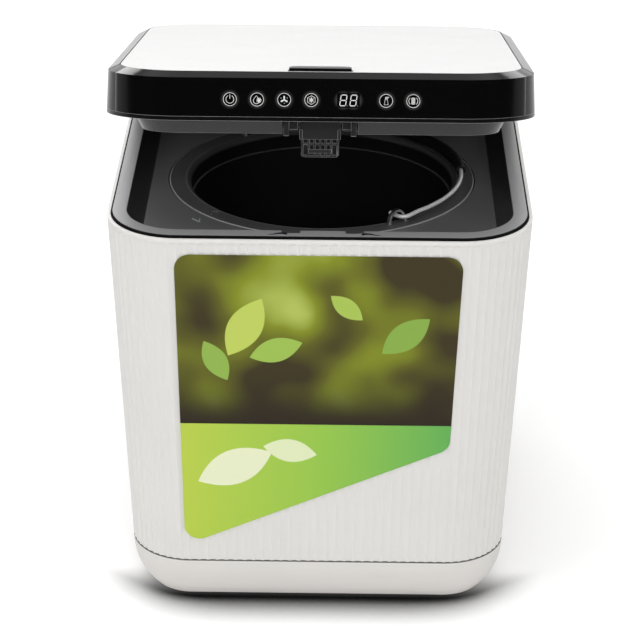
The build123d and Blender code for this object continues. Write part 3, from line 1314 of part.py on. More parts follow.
def latch_tongue():
    """Swinging latch tongue: block, ribbed grille with a barb, and the arm the button pushes."""
    y0, y1 = tongue_y, tongue_y + TONGUE_THICK
    tongue = box(-TONGUE_HALF, TONGUE_HALF, y0, y1, lid_z - TONGUE_BLOCK_DROP, pivot_z + 4)
    grille_low = lid_z - GRILLE_DROP
    block_low = lid_z - TONGUE_BLOCK_DROP
    for side in (-1, 1):
        x0, x1 = sorted((side * TONGUE_HALF, side * (TONGUE_HALF - CHEEK_WIDTH)))
        tongue += box(x0, x1, y0 - CHEEK_PROUD, y0 + 1, block_low, lid_z - CHEEK_DROP)
    g0, g1 = y0 + GRILLE_SETBACK, y0 + GRILLE_SETBACK + GRILLE_THICK
    frame = box(-GRILLE_HALF, GRILLE_HALF, g0, g1, grille_low, block_low)
    frame = fillet(frame.edges().filter_by(Axis.Y).group_by(Axis.Z)[0], 2.5)
    frame -= box(-GRILLE_HALF + GRILLE_BAR, GRILLE_HALF - GRILLE_BAR, g0 - 1, g1 - 2,
                 grille_low + GRILLE_BAR, block_low)
    pitch = 2 * (GRILLE_HALF - GRILLE_BAR) / (GRILLE_BARS + 1)
    for k in range(1, GRILLE_BARS + 1):
        x = -GRILLE_HALF + GRILLE_BAR + pitch * k
        frame += box(x - 0.6, x + 0.6, g0, g1 - 1, grille_low + 0.5, block_low)
    frame += box(-GRILLE_HALF + 0.5, GRILLE_HALF - 0.5, g0, g1 - 1, block_low - 4.2, block_low - 3)
    barb_top = deck_z - DECK_WALL - KEEPER_THICK - LATCH_PLAY
    barb = box(-8, 8, keeper_edge() - BARB_BITE, g0 + 1, barb_top - BARB_THICK, barb_top)
    tongue += frame + barb
    arm_reach = button_mid_y - 3
    arm_top = pivot_z + PIVOT_R + ARM_RISE
    tongue += box(-STEM_WIDTH / 2 - 1, STEM_WIDTH / 2 + 1, arm_reach, y0 + 1, arm_top - ARM_THICK, arm_top)
    return tongue - cylinder_x(PIVOT_R + SHAFT_FIT, -WIDTH, WIDTH, pivot_y, pivot_z)


def latch_pin():
    """Pin that the latch tongue swings on."""
    reach = TONGUE_HALF + 4.2
    return cylinder_x(PIVOT_R, -reach, reach, pivot_y, pivot_z)


def hinge_brackets():
    """Hinge halves on the rim: a leaf with one knuckle each."""
    parts = []
    knuckle_half = HINGE_SPAN / 2 - EAR_THICK - 0.5
    for side in (-1, 1):
        x = side * HINGE_X
        leaf = box(x - knuckle_half, x + knuckle_half, hinge_y - LEAF_FRONT, hinge_y + LEAF_BACK,
                   RIM_HEIGHT, RIM_HEIGHT + LEAF_THICK)
        web = box(x - knuckle_half, x + knuckle_half, hinge_y - KNUCKLE_R, hinge_y + KNUCKLE_R - 2,
                  RIM_HEIGHT, hinge_z)
        knuckle = cylinder_x(KNUCKLE_R, x - knuckle_half, x + knuckle_half, hinge_y, hinge_z)
        bore = cylinder_x(PIN_R + SHAFT_FIT, x - HINGE_SPAN, x + HINGE_SPAN, hinge_y, hinge_z)
        parts.append(leaf + web + knuckle - bore)
    return parts


def hinge_leaves():
    """Hinge halves in the lid's pockets: two ears under one leaf each."""
    parts = []
    half = HINGE_SPAN / 2
    top = hinge_z + KNUCKLE_R + 1.6
    for side in (-1, 1):
        x = side * HINGE_X
        part = box(x - half, x + half, hinge_y - LEAF_FRONT + 1, hinge_y + LEAF_BACK - 1, top, top + LEAF_THICK)
        for end in (-1, 1):
            x0, x1 = sorted((x + end * half, x + end * (half - EAR_THICK)))
            part += cylinder_x(KNUCKLE_R, x0, x1, hinge_y, hinge_z)
            part += box(x0, x1, hinge_y - KNUCKLE_R + 1, hinge_y + KNUCKLE_R - 1, hinge_z, top)
        parts.append(part - cylinder_x(PIN_R, x - half - 1, x + half + 1, hinge_y, hinge_z))
    return parts


def hinge_pins():
    """Two hinge pins."""
    half = HINGE_SPAN / 2
    return [
        cylinder_x(PIN_R, side * HINGE_X - half, side * HINGE_X + half, hinge_y, hinge_z)
        for side in (-1, 1)
    ]


def lid_screw_places():
    """Plan positions of the screws that join the lid's two halves."""
    reach = DOME_R - LID_SCREW_INSET
    return [
        (reach * cos(radians(a)), BUCKET_Y + reach * sin(radians(a)))
        for a in (45, 135, 225, 315)
    ]


def lid_screws():
    """Screws that hold the lid's two halves together, from inside the round recess."""
    return [screw(x, y, lid_z + DOME_RISE, LID_SCREW_LENGTH, up=False) for x, y in lid_screw_places()]


def write(name, shape):
    """Write one sub-part; a list becomes one node of separate solids."""
    if isinstance(shape, list):
        shape = Compound(children=shape)
    export_step(shape, f"parts/{name}.step")


os.makedirs("parts", exist_ok=True)

FIXED = (
    outer_casing, base_tray, rubber_feet, case_screws, top_deck, latch_striker, interlock_switches,
    rim_gasket, front_label, heating_pot, shaft_seal, heater_ring, insulation_sleeve, thermostat,
    idler_shaft, motor_can, gearbox_housing, gearbox_cover, output_bearings,
    filter_bay, intake_duct, exhaust_duct, fan_frame, rear_grille, power_inlet, board_bracket,
    power_board, board_parts, hinge_brackets,
    bucket, bucket_bush, breaker_bars, bail_wire, bail_grip, stirrer_blade, stirrer_shaft,
    drive_shaft, output_gear, idler_gear, motor_pinion, motor_shaft, fan_impeller,
    filter_drawer, carbon_block,
)
ON_LID = (
    lid_shell, control_fascia, lid_top_panel, inner_lid, lid_gasket, display_board, indicator_lamps,
    latch_housing, latch_tongue, latch_pin, hinge_leaves, hinge_pins, lid_screws,
    release_button, button_springs,
)

for make in FIXED:
    write(make.__name__, make())
for make in ON_LID:
    made = make()
    write(make.__name__, [opened(s) for s in made] if isinstance(made, list) else opened(made))
write("display_lenses", [opened(s) for s in icon_discs(ICON_DEPTH, 0) + [digit_block(ICON_DEPTH, 0)]])
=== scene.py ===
"""Looks of a worktop food waste composter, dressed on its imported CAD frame.

Everything is in metres in the frame's own axes: +Z up, the front faces -Y and the
origin is the centre of the footprint. The lid's pieces are modelled shut and then
swung open about the hinge, which is how the frame rests.
"""
import json
import logging
import math
from dataclasses import dataclass, field
from enum import Enum
from functools import cache
from typing import Callable, Iterable, Optional, Sequence, Union

import bmesh
import bpy
from mathutils import Matrix, Vector


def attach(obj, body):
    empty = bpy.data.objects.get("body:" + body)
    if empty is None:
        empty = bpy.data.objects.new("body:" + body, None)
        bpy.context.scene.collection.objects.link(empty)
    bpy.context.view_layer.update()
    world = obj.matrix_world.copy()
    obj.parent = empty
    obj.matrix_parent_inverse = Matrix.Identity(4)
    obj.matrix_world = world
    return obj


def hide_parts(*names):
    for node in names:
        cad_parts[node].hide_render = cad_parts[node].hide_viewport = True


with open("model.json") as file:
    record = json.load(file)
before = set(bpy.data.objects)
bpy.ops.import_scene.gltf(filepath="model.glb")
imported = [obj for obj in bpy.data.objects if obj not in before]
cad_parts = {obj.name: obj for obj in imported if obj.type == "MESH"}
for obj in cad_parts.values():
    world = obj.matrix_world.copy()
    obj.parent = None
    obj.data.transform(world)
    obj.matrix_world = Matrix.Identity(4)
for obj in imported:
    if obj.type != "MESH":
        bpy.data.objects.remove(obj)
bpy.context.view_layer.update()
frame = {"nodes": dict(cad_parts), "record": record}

MM = 0.001
LOG = logging.getLogger("composter")
Colour = tuple[float, float, float]
Place = tuple[float, float, float]
Spot = tuple[float, float]
BLACK = (0.0, 0.0, 0.0)
WHITE = (1.0, 1.0, 1.0)
FLAT_DEG = 0.4                          # faces closer than this are one flat
SHARP_DEG = 38.0                        # edges of the frame's nodes that are eased
CREASE_DEG = 34.0                       # creases that stay on eased and cut pieces
FINE_CREASE_DEG = 40.0                  # and on thin and round ones
SAME = 1e-6                             # places closer than this are one place


def scaled(colour: Colour, share: float) -> Colour:
    """Return a colour made lighter or darker by a share, never past white."""
    return tuple(min(1.0, c * share) for c in colour)


def polar(radius: float, angle_deg: float, x: float = 0.0, y: float = 0.0) -> Spot:
    """Return the point at a radius and an angle from +X about a centre."""
    angle = math.radians(angle_deg)
    return (x + radius * math.cos(angle), y + radius * math.sin(angle))


# ------------------------------------------------------------------ shader maths
def operator(operation: str, swapped: bool = False) -> Callable[["Value", "Number"], "Value"]:
    """Return the method that adds one kind of Math node.

    Args:
        operation: the node's operation.
        swapped: whether the other operand comes first.

    Returns:
        The method, which a class holds under an operator's name.
    """
    def method(self: "Value", other: "Number") -> "Value":
        """Add the node and return its result."""
        first, second = (other, self) if swapped else (self, other)
        return self.box.node("ShaderNodeMath", {"operation": operation}, {0: first, 1: second})
    return method


class Value:
    """A socket that varies over a surface, with the arithmetic that adds Math nodes."""

    __add__, __radd__ = operator("ADD"), operator("ADD", True)
    __sub__, __rsub__ = operator("SUBTRACT"), operator("SUBTRACT", True)
    __mul__, __rmul__ = operator("MULTIPLY"), operator("MULTIPLY", True)
    __truediv__, __pow__ = operator("DIVIDE"), operator("POWER")
    __lt__, most = operator("LESS_THAN"), operator("MAXIMUM")

    def __init__(self, box: "Paintbox", socket: bpy.types.NodeSocket) -> None:
        """Wrap one output socket of a material's tree."""
        self.box = box
        self.socket = socket

    def __abs__(self) -> "Value":
        """Return the absolute value."""
        return self.box.node("ShaderNodeMath", {"operation": "ABSOLUTE"}, {0: self})

    def ramp(self, low: float, high: float) -> "Value":
        """Return 0 below low, 1 above high and a smooth step between them."""
        return self.box.node("ShaderNodeMapRange", {"interpolation_type": "SMOOTHSTEP"},
                             {"Value": self, "From Min": low, "From Max": high})


Number = Union[Value, float, int]


class Paintbox:
    """The node tree of one material, with one method that adds any node."""

    def __init__(self, name: str) -> None:
        """Start a material with a Principled shader.

        Args:
            name: the material's name.
        """
        self.material = bpy.data.materials.new(name)
        self.material.use_nodes = True
        self.tree = self.material.node_tree
        self.surface = self.tree.nodes["Principled BSDF"]

    def node(self, kind: str, settings: Optional[dict] = None, inputs: Optional[dict] = None,
             output: Union[int, str] = 0) -> Value:
        """Add a node.

        Args:
            kind: the node's type.
            settings: its properties, and "stops" for a colour ramp, set first.
            inputs: values or links of its sockets, by name or number.
            output: which output to return.

        Returns:
            The chosen output.
        """
        made = self.tree.nodes.new(kind)
        for key, value in (settings or {}).items():
            if key == "stops":
                ramp = made.color_ramp
                while len(ramp.elements) < len(value):
                    ramp.elements.new(0.5)
                for element, (place, colour) in zip(ramp.elements, value):
                    element.position = place
                    element.color = (*colour, 1.0)
            else:
                setattr(made, key, value)
        for key, value in (inputs or {}).items():
            self.feed(made.inputs[key], value)
        return Value(self, made.outputs[output])

    def feed(self, socket: bpy.types.NodeSocket, value: Union[Number, Sequence[float]]) -> None:
        """Link or set one socket.

        Args:
            socket: the input socket.
            value: an output, a number, a colour or a vector.
        """
        if isinstance(value, Value):
            self.tree.links.new(value.socket, socket)
        elif isinstance(value, (int, float)):
            socket.default_value = value
        else:
            room = len(socket.default_value)
            socket.default_value = (*value, 1.0)[:room]

    def set(self, **inputs: Union[Number, Sequence[float]]) -> None:
        """Set the Principled shader's sockets, named with _ for a space."""
        for key, value in inputs.items():
            self.feed(self.surface.inputs[key.replace("_", " ")], value)

    def place(self, scale: Place = (1.0, 1.0, 1.0), turn: Place = (0.0, 0.0, 0.0)) -> Value:
        """Return the Object coordinates, scaled and turned by a Mapping node."""
        where = self.node("ShaderNodeTexCoord", output="Object")
        return self.node("ShaderNodeMapping", {},
                         {"Vector": where, "Rotation": turn, "Scale": scale})

    def noise(self, where: Value, per_metre: float, detail: float, rough: float) -> Value:
        """Return a Noise texture's value with that many features in a metre."""
        return self.node("ShaderNodeTexNoise", {},
                         {"Vector": where, "Scale": per_metre, "Detail": detail,
                          "Roughness": rough})

    def cells(self, where: Value, per_metre: float) -> Value:
        """Return a Voronoi texture's distance with that many cells in a metre."""
        return self.node("ShaderNodeTexVoronoi", {}, {"Vector": where, "Scale": per_metre})

    def mix(self, share: Number, first: Union[Value, Colour], second: Union[Value, Colour]
            ) -> Value:
        """Mix two colours.

        Args:
            share: how much of the second colour.
            first: the first colour.
            second: the second colour.

        Returns:
            The mixed colour.
        """
        return self.node("ShaderNodeMix", {"data_type": "RGBA"}, {0: share, 6: first, 7: second}, 2)

    def tones(self, share: Number, colour: Colour, dark: float, light: float) -> Value:
        """Mix two tones of one colour.

        Args:
            share: how much of the lighter tone.
            colour: the colour that both come from.
            dark: what the darker tone multiplies it by.
            light: what the lighter tone multiplies it by.

        Returns:
            The mixed colour.
        """
        return self.mix(share, scaled(colour, dark), scaled(colour, light))

    def bump(self, height: Value, depth: float, strength: float) -> Value:
        """Return a normal from a height of 0 to 1 that stands for depth metres."""
        return self.node("ShaderNodeBump", {},
                         {"Strength": strength, "Distance": depth, "Height": height})

    def shut_height(self, where: Value) -> Value:
        """Return a point's height with the lid it is on swung shut.

        Args:
            where: the point, as it rests.

        Returns:
            The height.
        """
        _, y, z = self.axes(where)
        angle = math.radians(BODY.open_deg)
        rise = (y - BODY.hinge_y) * math.sin(angle) + (z - BODY.hinge_z) * math.cos(angle)
        return rise + BODY.hinge_z

    def axes(self, where: Value) -> tuple[Value, Value, Value]:
        """Split a vector into its three numbers.

        Args:
            where: the vector.

        Returns:
            Its x, y and z.
        """
        split = self.node("ShaderNodeSeparateXYZ", {}, {0: where})
        node = split.socket.node
        return tuple(Value(self, node.outputs[k]) for k in range(3))


# ------------------------------------------------------------------ finishes
@dataclass(frozen=True)
class Finish:
    """What every finish has: a name, a base colour and a roughness."""

    name: str
    colour: Colour
    rough: float = 0.5

    def paint(self, box: Paintbox) -> None:
        """Add the finish's nodes; each kind of finish has its own."""
        raise NotImplementedError

    @cache
    def material(self) -> bpy.types.Material:
        """Return the finish's material, made once.

        Returns:
            The material.
        """
        box = Paintbox(self.name)
        self.paint(box)
        return box.material


@dataclass(frozen=True)
class Moulded(Finish):
    """Injection-moulded plastic or rubber with a fine spark-eroded grain."""

    grain: float = 2600.0        # grains in a metre
    depth: float = 0.00004
    mottle: float = 0.03
    specular: float = 0.5
    seam_z: Optional[float] = None      # middle of a line of painted shade at the seam round the part
    seam_shade_half: float = 0.45 * MM

    def tint(self, box: Paintbox, where: Value, cloud: Value, grit: Value) -> Value:
        """Return the base colour: mottled, and with painted shade at the seam if there is one.

        Args:
            box: the material's tree.
            where: the Object coordinates.
            cloud: broad noise.
            grit: the grain's noise.

        Returns:
            The colour.
        """
        base = box.tones((cloud * 0.8 + grit * 0.2).ramp(0.35, 0.65), self.colour,
                         1 - self.mottle, 1 + self.mottle)
        if self.seam_z is None:
            return base
        # Painted shade: the colour darkens along the seam, where the gap between casing and tray
        # lies in shadow.
        away = abs(box.axes(where)[2] - self.seam_z)
        gap_shade = (self.seam_shade_half - away).ramp(0.0, 0.15 * MM)
        return box.mix(gap_shade * 0.85, base, scaled(self.colour, 0.08))

    def paint(self, box: Paintbox) -> None:
        """Tint the plastic, vary its gloss and raise its grain.

        Args:
            box: the material's tree.
        """
        where = box.place()
        cloud = box.noise(where, 14.0, 4.0, 0.6)
        grit = box.noise(where, self.grain, 2.0, 0.55)
        box.set(Base_Color=self.tint(box, where, cloud, grit),
                Roughness=self.rough - 0.05 + cloud * 0.06 + grit * 0.04,
                Specular_IOR_Level=self.specular,
                Normal=box.bump(grit, self.depth, 0.5))


@dataclass(frozen=True)
class DeckSatin(Moulded):
    """Grained deck with a paler flat rim and a smoother, darker recess wall between them: the paler
    rim is a painted highlight and the darker wall painted shade.
    """

    # The wall's near black is painted shade in the recess, and the rim's paler grey a painted
    # highlight.
    wall: Colour = (0.028, 0.028, 0.028)
    rim: Colour = (0.25, 0.25, 0.252)
    deck_z: float = 283.7 * MM
    rim_z: float = 301.7 * MM

    def tint(self, box: Paintbox, where: Value, cloud: Value, grit: Value) -> Value:
        """Return the greys of the three levels, as for any moulding: painted shade on the wall, a
        painted highlight on the rim.

        Args:
            box: the material's tree.
            where: the Object coordinates.
            cloud: broad noise.
            grit: the grain's noise, which is not used here.

        Returns:
            The colour.
        """
        z = box.axes(where)[2]
        # Painted shade on the recess wall above the deck, and a painted highlight on the rim's flat
        # top.
        level = (z - self.deck_z).ramp(0.3 * MM, 1.0 * MM)
        top = (z - self.rim_z).ramp(-0.6 * MM, -0.3 * MM)
        base = box.tones(cloud.ramp(0.35, 0.65), self.colour, 1.0, 1.1)
        base = box.mix(level, base, self.wall)
        return box.mix(top, base, box.tones(cloud, self.rim, 1.0, 1.08))


@dataclass(frozen=True)
class PlugSatin(Moulded):
    """Satin inner lid whose lip, above the plug, is near black."""

    lip: Colour = (0.003, 0.003, 0.003)
    lip_z: float = 302.2 * MM

    def tint(self, box: Paintbox, where: Value, cloud: Value, grit: Value) -> Value:
        """Return the plug's grey and the lip's, as for any moulding.

        Args:
            box: the material's tree.
            where: the Object coordinates.
            cloud: broad noise.
            grit: the grain's noise, which is not used here.

        Returns:
            The colour.
        """
        low = box.tones(cloud.ramp(0.35, 0.65), self.colour, 1.0, 1.1)
        lip = (box.shut_height(where) - self.lip_z).ramp(-0.15 * MM, 0.05 * MM)
        return box.mix(lip, low, self.lip)


@dataclass(frozen=True)
class Gloss(Finish):
    """Polished plastic with the faint waviness and dust of a hand-sized moulding."""

    wave: float = 0.00002
    specular: float = 0.5
    dust: float = 0.02                  # how much paler the specks are

    def paint(self, box: Paintbox) -> None:
        """Keep the colour even, with faint waves and specks in the gloss.

        Args:
            box: the material's tree.
        """
        where = box.place()
        swell = box.noise(where, 30.0, 2.0, 0.4)
        dust = box.noise(where, 1800.0, 1.0, 0.5).ramp(0.68, 0.78)
        light = tuple(min(1.0, c + self.dust) for c in self.colour)
        box.set(Base_Color=box.mix(dust * 0.5, self.colour, light),
                Roughness=self.rough + dust * 0.12 + swell * 0.03,
                Specular_IOR_Level=self.specular, Normal=box.bump(swell, self.wave, 0.4))


@dataclass(frozen=True)
class HaloGloss(Gloss):
    """Polished plastic through which the lamps behind the marks bleed a little."""

    middles: tuple[Place, ...] = ()
    reach: float = 7.6 * MM
    core: float = 4.2 * MM
    light: Colour = (0.045, 0.045, 0.04365)

    def paint(self, box: Paintbox) -> None:
        """Paint the polish, and fade a dim light out round each mark.

        Args:
            box: the material's tree.
        """
        super().paint(box)
        where = box.place()
        glow = None
        for middle in self.middles:
            away = box.node("ShaderNodeVectorMath", {"operation": "DISTANCE"},
                            {0: where, 1: middle}, "Value")
            here = 1 - away.ramp(self.core, self.reach)
            glow = here if glow is None else glow.most(here)
        box.set(Emission_Color=box.mix(glow ** 1.6, BLACK, self.light), Emission_Strength=1.0)


@dataclass(frozen=True)
class Metal(Finish):
    """Metal with fine lines left by drawing, turning or rolling."""

    along: Place = (1.0, 1.0, 1.0)      # low along the lines, high across them
    lines: float = 900.0
    depth: float = 0.00001
    stain: float = 0.08
    metallic: float = 1.0

    def paint(self, box: Paintbox) -> None:
        """Streak the colour and the roughness along the lines.

        Args:
            box: the material's tree.
        """
        streak = box.noise(box.place(self.along), self.lines, 4.0, 0.7)
        cloud = box.noise(box.place(), 25.0, 3.0, 0.5)
        tone = box.tones((streak * 0.6 + cloud * 0.4).ramp(0.3, 0.7), self.colour,
                         1 - self.stain, 1 + self.stain)
        box.set(Base_Color=tone, Metallic=self.metallic,
                Roughness=self.rough - 0.06 + streak * 0.16 + cloud * 0.04,
                Normal=box.bump(streak, self.depth, 0.5))


@dataclass(frozen=True)
class NonStick(Finish):
    """Sprayed non-stick coating, with bare satin metal where the coat ends above it, a paler flange
    and painted highlights on its edges.
    """

    fleck_and_glint: Colour = (0.20, 0.20, 0.21)
    # Paler than the coat below it; the coat's near black inside the bucket is partly painted shade.
    flange: Colour = (0.085, 0.085, 0.087)
    bare: Colour = (0.46, 0.46, 0.47)
    flange_z: float = 1.0               # top of the flange; everything lower is coated
    lit_step_z: float = -1.0                # a step whose edge gets a painted highlight
    rim_r: float = 1.0                  # outer edge of the flange, which gets a painted highlight
    mouth_r: float = 1.0                # where the flange turns down into the mouth
    axis_y: float = 0.0

    def paint(self, box: Paintbox) -> None:
        """Scatter flecks, pebble the surface, bare the lugs and paint highlights on the flange's
        edges and the step.

        Args:
            box: the material's tree.
        """
        where = box.place()
        x, y, z = box.axes(where)
        radius = (x * x + (y - self.axis_y) ** 2) ** 0.5
        pebble = box.noise(where, 1500.0, 3.0, 0.6)
        flecks = (0.10 - box.cells(where, 900.0)).ramp(0.0, 0.06)
        cloud = box.noise(where, 20.0, 3.0, 0.5)
        base = box.tones(cloud.ramp(0.35, 0.7), self.colour, 1.0, 1.5)
        base = box.mix(flecks * 0.35, base, self.fleck_and_glint)
        # The flange is paler than the coat lower down, which inside the bucket is partly painted
        # shade.
        flange = (z - self.flange_z).ramp(-4.5 * MM, -1.0 * MM)
        metal = (z - self.flange_z).ramp(0.5 * MM, 0.9 * MM)
        # Painted highlights: a bright line at the step inside, and the bare metal colour on the
        # flange's outer edge and where it turns into the mouth.
        edge = (0.35 * MM - abs(z - self.lit_step_z)).ramp(0.0, 0.2 * MM)
        painted_rim_glint = (radius - self.rim_r).ramp(-0.9 * MM, -0.5 * MM) * flange
        painted_mouth_glint = (0.4 * MM - abs(radius - self.mouth_r)).ramp(0.0, 0.3 * MM) * flange
        base = box.mix(flange, base, box.tones(cloud.ramp(0.3, 0.7), self.flange, 1.0, 1.2))
        base = box.mix(edge * 0.6, base, self.fleck_and_glint)
        base = box.mix(painted_rim_glint.most(painted_mouth_glint * 0.45), base, self.bare)
        box.set(Base_Color=box.mix(metal, base, self.bare),
                Roughness=self.rough - 0.08 + pebble * 0.16 - flange * 0.05,
                Metallic=(flecks * 0.5).most(metal),
                Normal=box.bump(pebble, 0.00004, 0.5))


@dataclass(frozen=True)
class Felt(Finish):
    """Needled felt: crossing fibres and punch marks."""

    def paint(self, box: Paintbox) -> None:
        """Cross two sets of stretched noise and dent the needle holes.

        Args:
            box: the material's tree.
        """
        up = box.noise(box.place((1, 1, 0.1)), 1300.0, 4.0, 0.7)
        over = box.noise(box.place((0.2, 0.2, 1), (0.4, 0, 0.3)), 1100.0, 4.0, 0.7)
        holes = box.cells(box.place(), 280.0).ramp(0.05, 0.25)
        fibre = up.most(over)
        box.set(Base_Color=box.tones((fibre * holes).ramp(0.3, 0.65), self.colour, 0.78, 1.0),
                Roughness=0.86 + fibre * 0.12, Sheen_Weight=0.3,
                Normal=box.bump(fibre * holes, 0.0003, 0.8))


@dataclass(frozen=True)
class Granules(Finish):
    """Pressed carbon granules."""

    spread: float = 0.05                # how much paler the palest granule is

    def paint(self, box: Paintbox) -> None:
        """Give each granule its own grey and a rounded top.

        Args:
            box: the material's tree.
        """
        where = box.place()
        grain = box.cells(where, 420.0)
        tone = box.noise(where, 350.0, 2.0, 0.6)
        light = tuple(c + self.spread for c in self.colour)
        box.set(Base_Color=box.mix(tone.ramp(0.4, 0.7), self.colour, light),
                Roughness=0.6 + tone * 0.3,
                Normal=box.bump(1 - grain, 0.0008, 0.9))


@dataclass(frozen=True)
class Board(Finish):
    """Solder-masked circuit board with copper tracks under the mask."""

    track: Colour = (0.05, 0.30, 0.12)
    pad: Colour = (0.62, 0.60, 0.52)

    def paint(self, box: Paintbox) -> None:
        """Lay right-angled tracks and bright pads.

        Args:
            box: the material's tree.
        """
        across = box.node("ShaderNodeTexBrick", {"offset": 0.5},
                          {"Vector": box.place((1, 1, 1), (math.pi / 2, 0, 0)), "Scale": 60.0,
                           "Mortar Size": 0.035, "Color1": BLACK, "Color2": BLACK,
                           "Mortar": WHITE}, "Fac")
        pads = (0.18 - box.cells(box.place(), 160.0)).ramp(0.0, 0.03)
        masked = box.mix(across, self.colour, self.track)
        box.set(Base_Color=box.mix(pads, masked, self.pad),
                Metallic=pads * 0.9, Roughness=self.rough - pads * 0.1,
                Normal=box.bump(across.most(pads), 0.00005, 0.8))


@dataclass(frozen=True)
class Lit(Finish):
    """A translucent white mark with a lamp behind it."""

    glow: float = 0.6

    def paint(self, box: Paintbox) -> None:
        """Glow evenly, with the faint grain of the diffuser.

        Args:
            box: the material's tree.
        """
        grain = box.noise(box.place(), 1600.0, 2.0, 0.5)
        tone = box.tones(grain.ramp(0.35, 0.65), self.colour, 0.92, 1.0)
        box.set(Base_Color=tone, Emission_Color=tone, Emission_Strength=self.glow,
                Roughness=self.rough + grain * 0.05)


@dataclass(frozen=True)
class PrintedLabel(Finish):
    """Printed film: a leafy out-of-focus ground over a lime and green band."""

    band_top: float = 153.7 * MM
    left: float = -101.4 * MM
    right: float = 101.4 * MM
    leaf_width: float = 0.48            # of a leaf's length
    leaf_blur: float = 0.6 * MM
    soil: Colour = (0.024, 0.015, 0.006)
    soil_height: float = 50.0 * MM      # how far the dark foot of the ground fades upwards

    def leaf(self, x: Value, z: Value, middle: Place, length: float) -> Value:
        """Return 1 inside one pointed leaf and 0 outside it.

        Args:
            x: coordinate across the label.
            z: coordinate up the label.
            middle: the leaf's centre across and up, and its turn in degrees.
            length: tip to tip, in metres.

        Returns:
            The share.
        """
        turn = math.radians(middle[2])
        dx, dz = x - middle[0], z - middle[1]
        along = dx * math.cos(turn) + dz * math.sin(turn)
        across = abs(dz * math.cos(turn) - dx * math.sin(turn))
        belly = self.leaf_width / 2 * length * (1 - (along / (length / 2)) ** 2)
        return (belly - across).ramp(0.0, self.leaf_blur)

    def paint(self, box: Paintbox) -> None:
        """Print the blurred ground, the leaves and the band.

        Args:
            box: the material's tree.
        """
        where = box.place()
        x, _, z = box.axes(where)
        blur = box.noise(where, 16.0, 1.5, 0.4)
        discs = box.node("ShaderNodeTexVoronoi", {"feature": "SMOOTH_F1"},
                         {"Vector": where, "Scale": 26.0, "Smoothness": 0.5})
        ground = box.node("ShaderNodeValToRGB", {"stops": [
            (0.30, (0.046, 0.034, 0.008)), (0.43, (0.125, 0.128, 0.010)),
            (0.56, (0.240, 0.285, 0.014)), (0.70, (0.470, 0.560, 0.110))]},
            {0: blur + (0.42 - discs) * 0.25 - (x - self.left) * 0.25})
        low = (z - self.band_top) / self.soil_height
        ground = box.mix(1 - low.ramp(0.0, 1.0), ground, self.soil)
        across = (x - self.left) / (self.right - self.left)
        band = box.node("ShaderNodeValToRGB", {"stops": [
            (0.0, (0.52, 0.66, 0.075)), (0.5, (0.33, 0.60, 0.075)), (1.0, (0.12, 0.45, 0.10))]},
            {0: across})
        printed = box.mix((z < self.band_top), ground, band)
        for middle, length, tint in LABEL_LEAVES:
            printed = box.mix(self.leaf(x, z, middle, length), printed, tint)
        grain = box.noise(where, 2500.0, 1.0, 0.5)
        box.set(Base_Color=printed, Roughness=self.rough + grain * 0.08, Specular_IOR_Level=0.25,
                Normal=box.bump(grain, 0.00001, 0.3))


LABEL_LEAVES = (
    ((-0.052, 0.232, 62.0), 0.052, (0.55, 0.66, 0.12)),
    ((-0.030, 0.214, 18.0), 0.040, (0.36, 0.55, 0.09)),
    ((-0.073, 0.205, 118.0), 0.036, (0.30, 0.48, 0.08)),
    ((0.020, 0.248, 140.0), 0.030, (0.42, 0.58, 0.10)),
    ((0.062, 0.226, 40.0), 0.044, (0.26, 0.44, 0.07)),
    ((-0.060, 0.118, 25.0), 0.060, (0.86, 0.90, 0.62)),
    ((-0.020, 0.132, -10.0), 0.040, (0.80, 0.88, 0.55)),
)

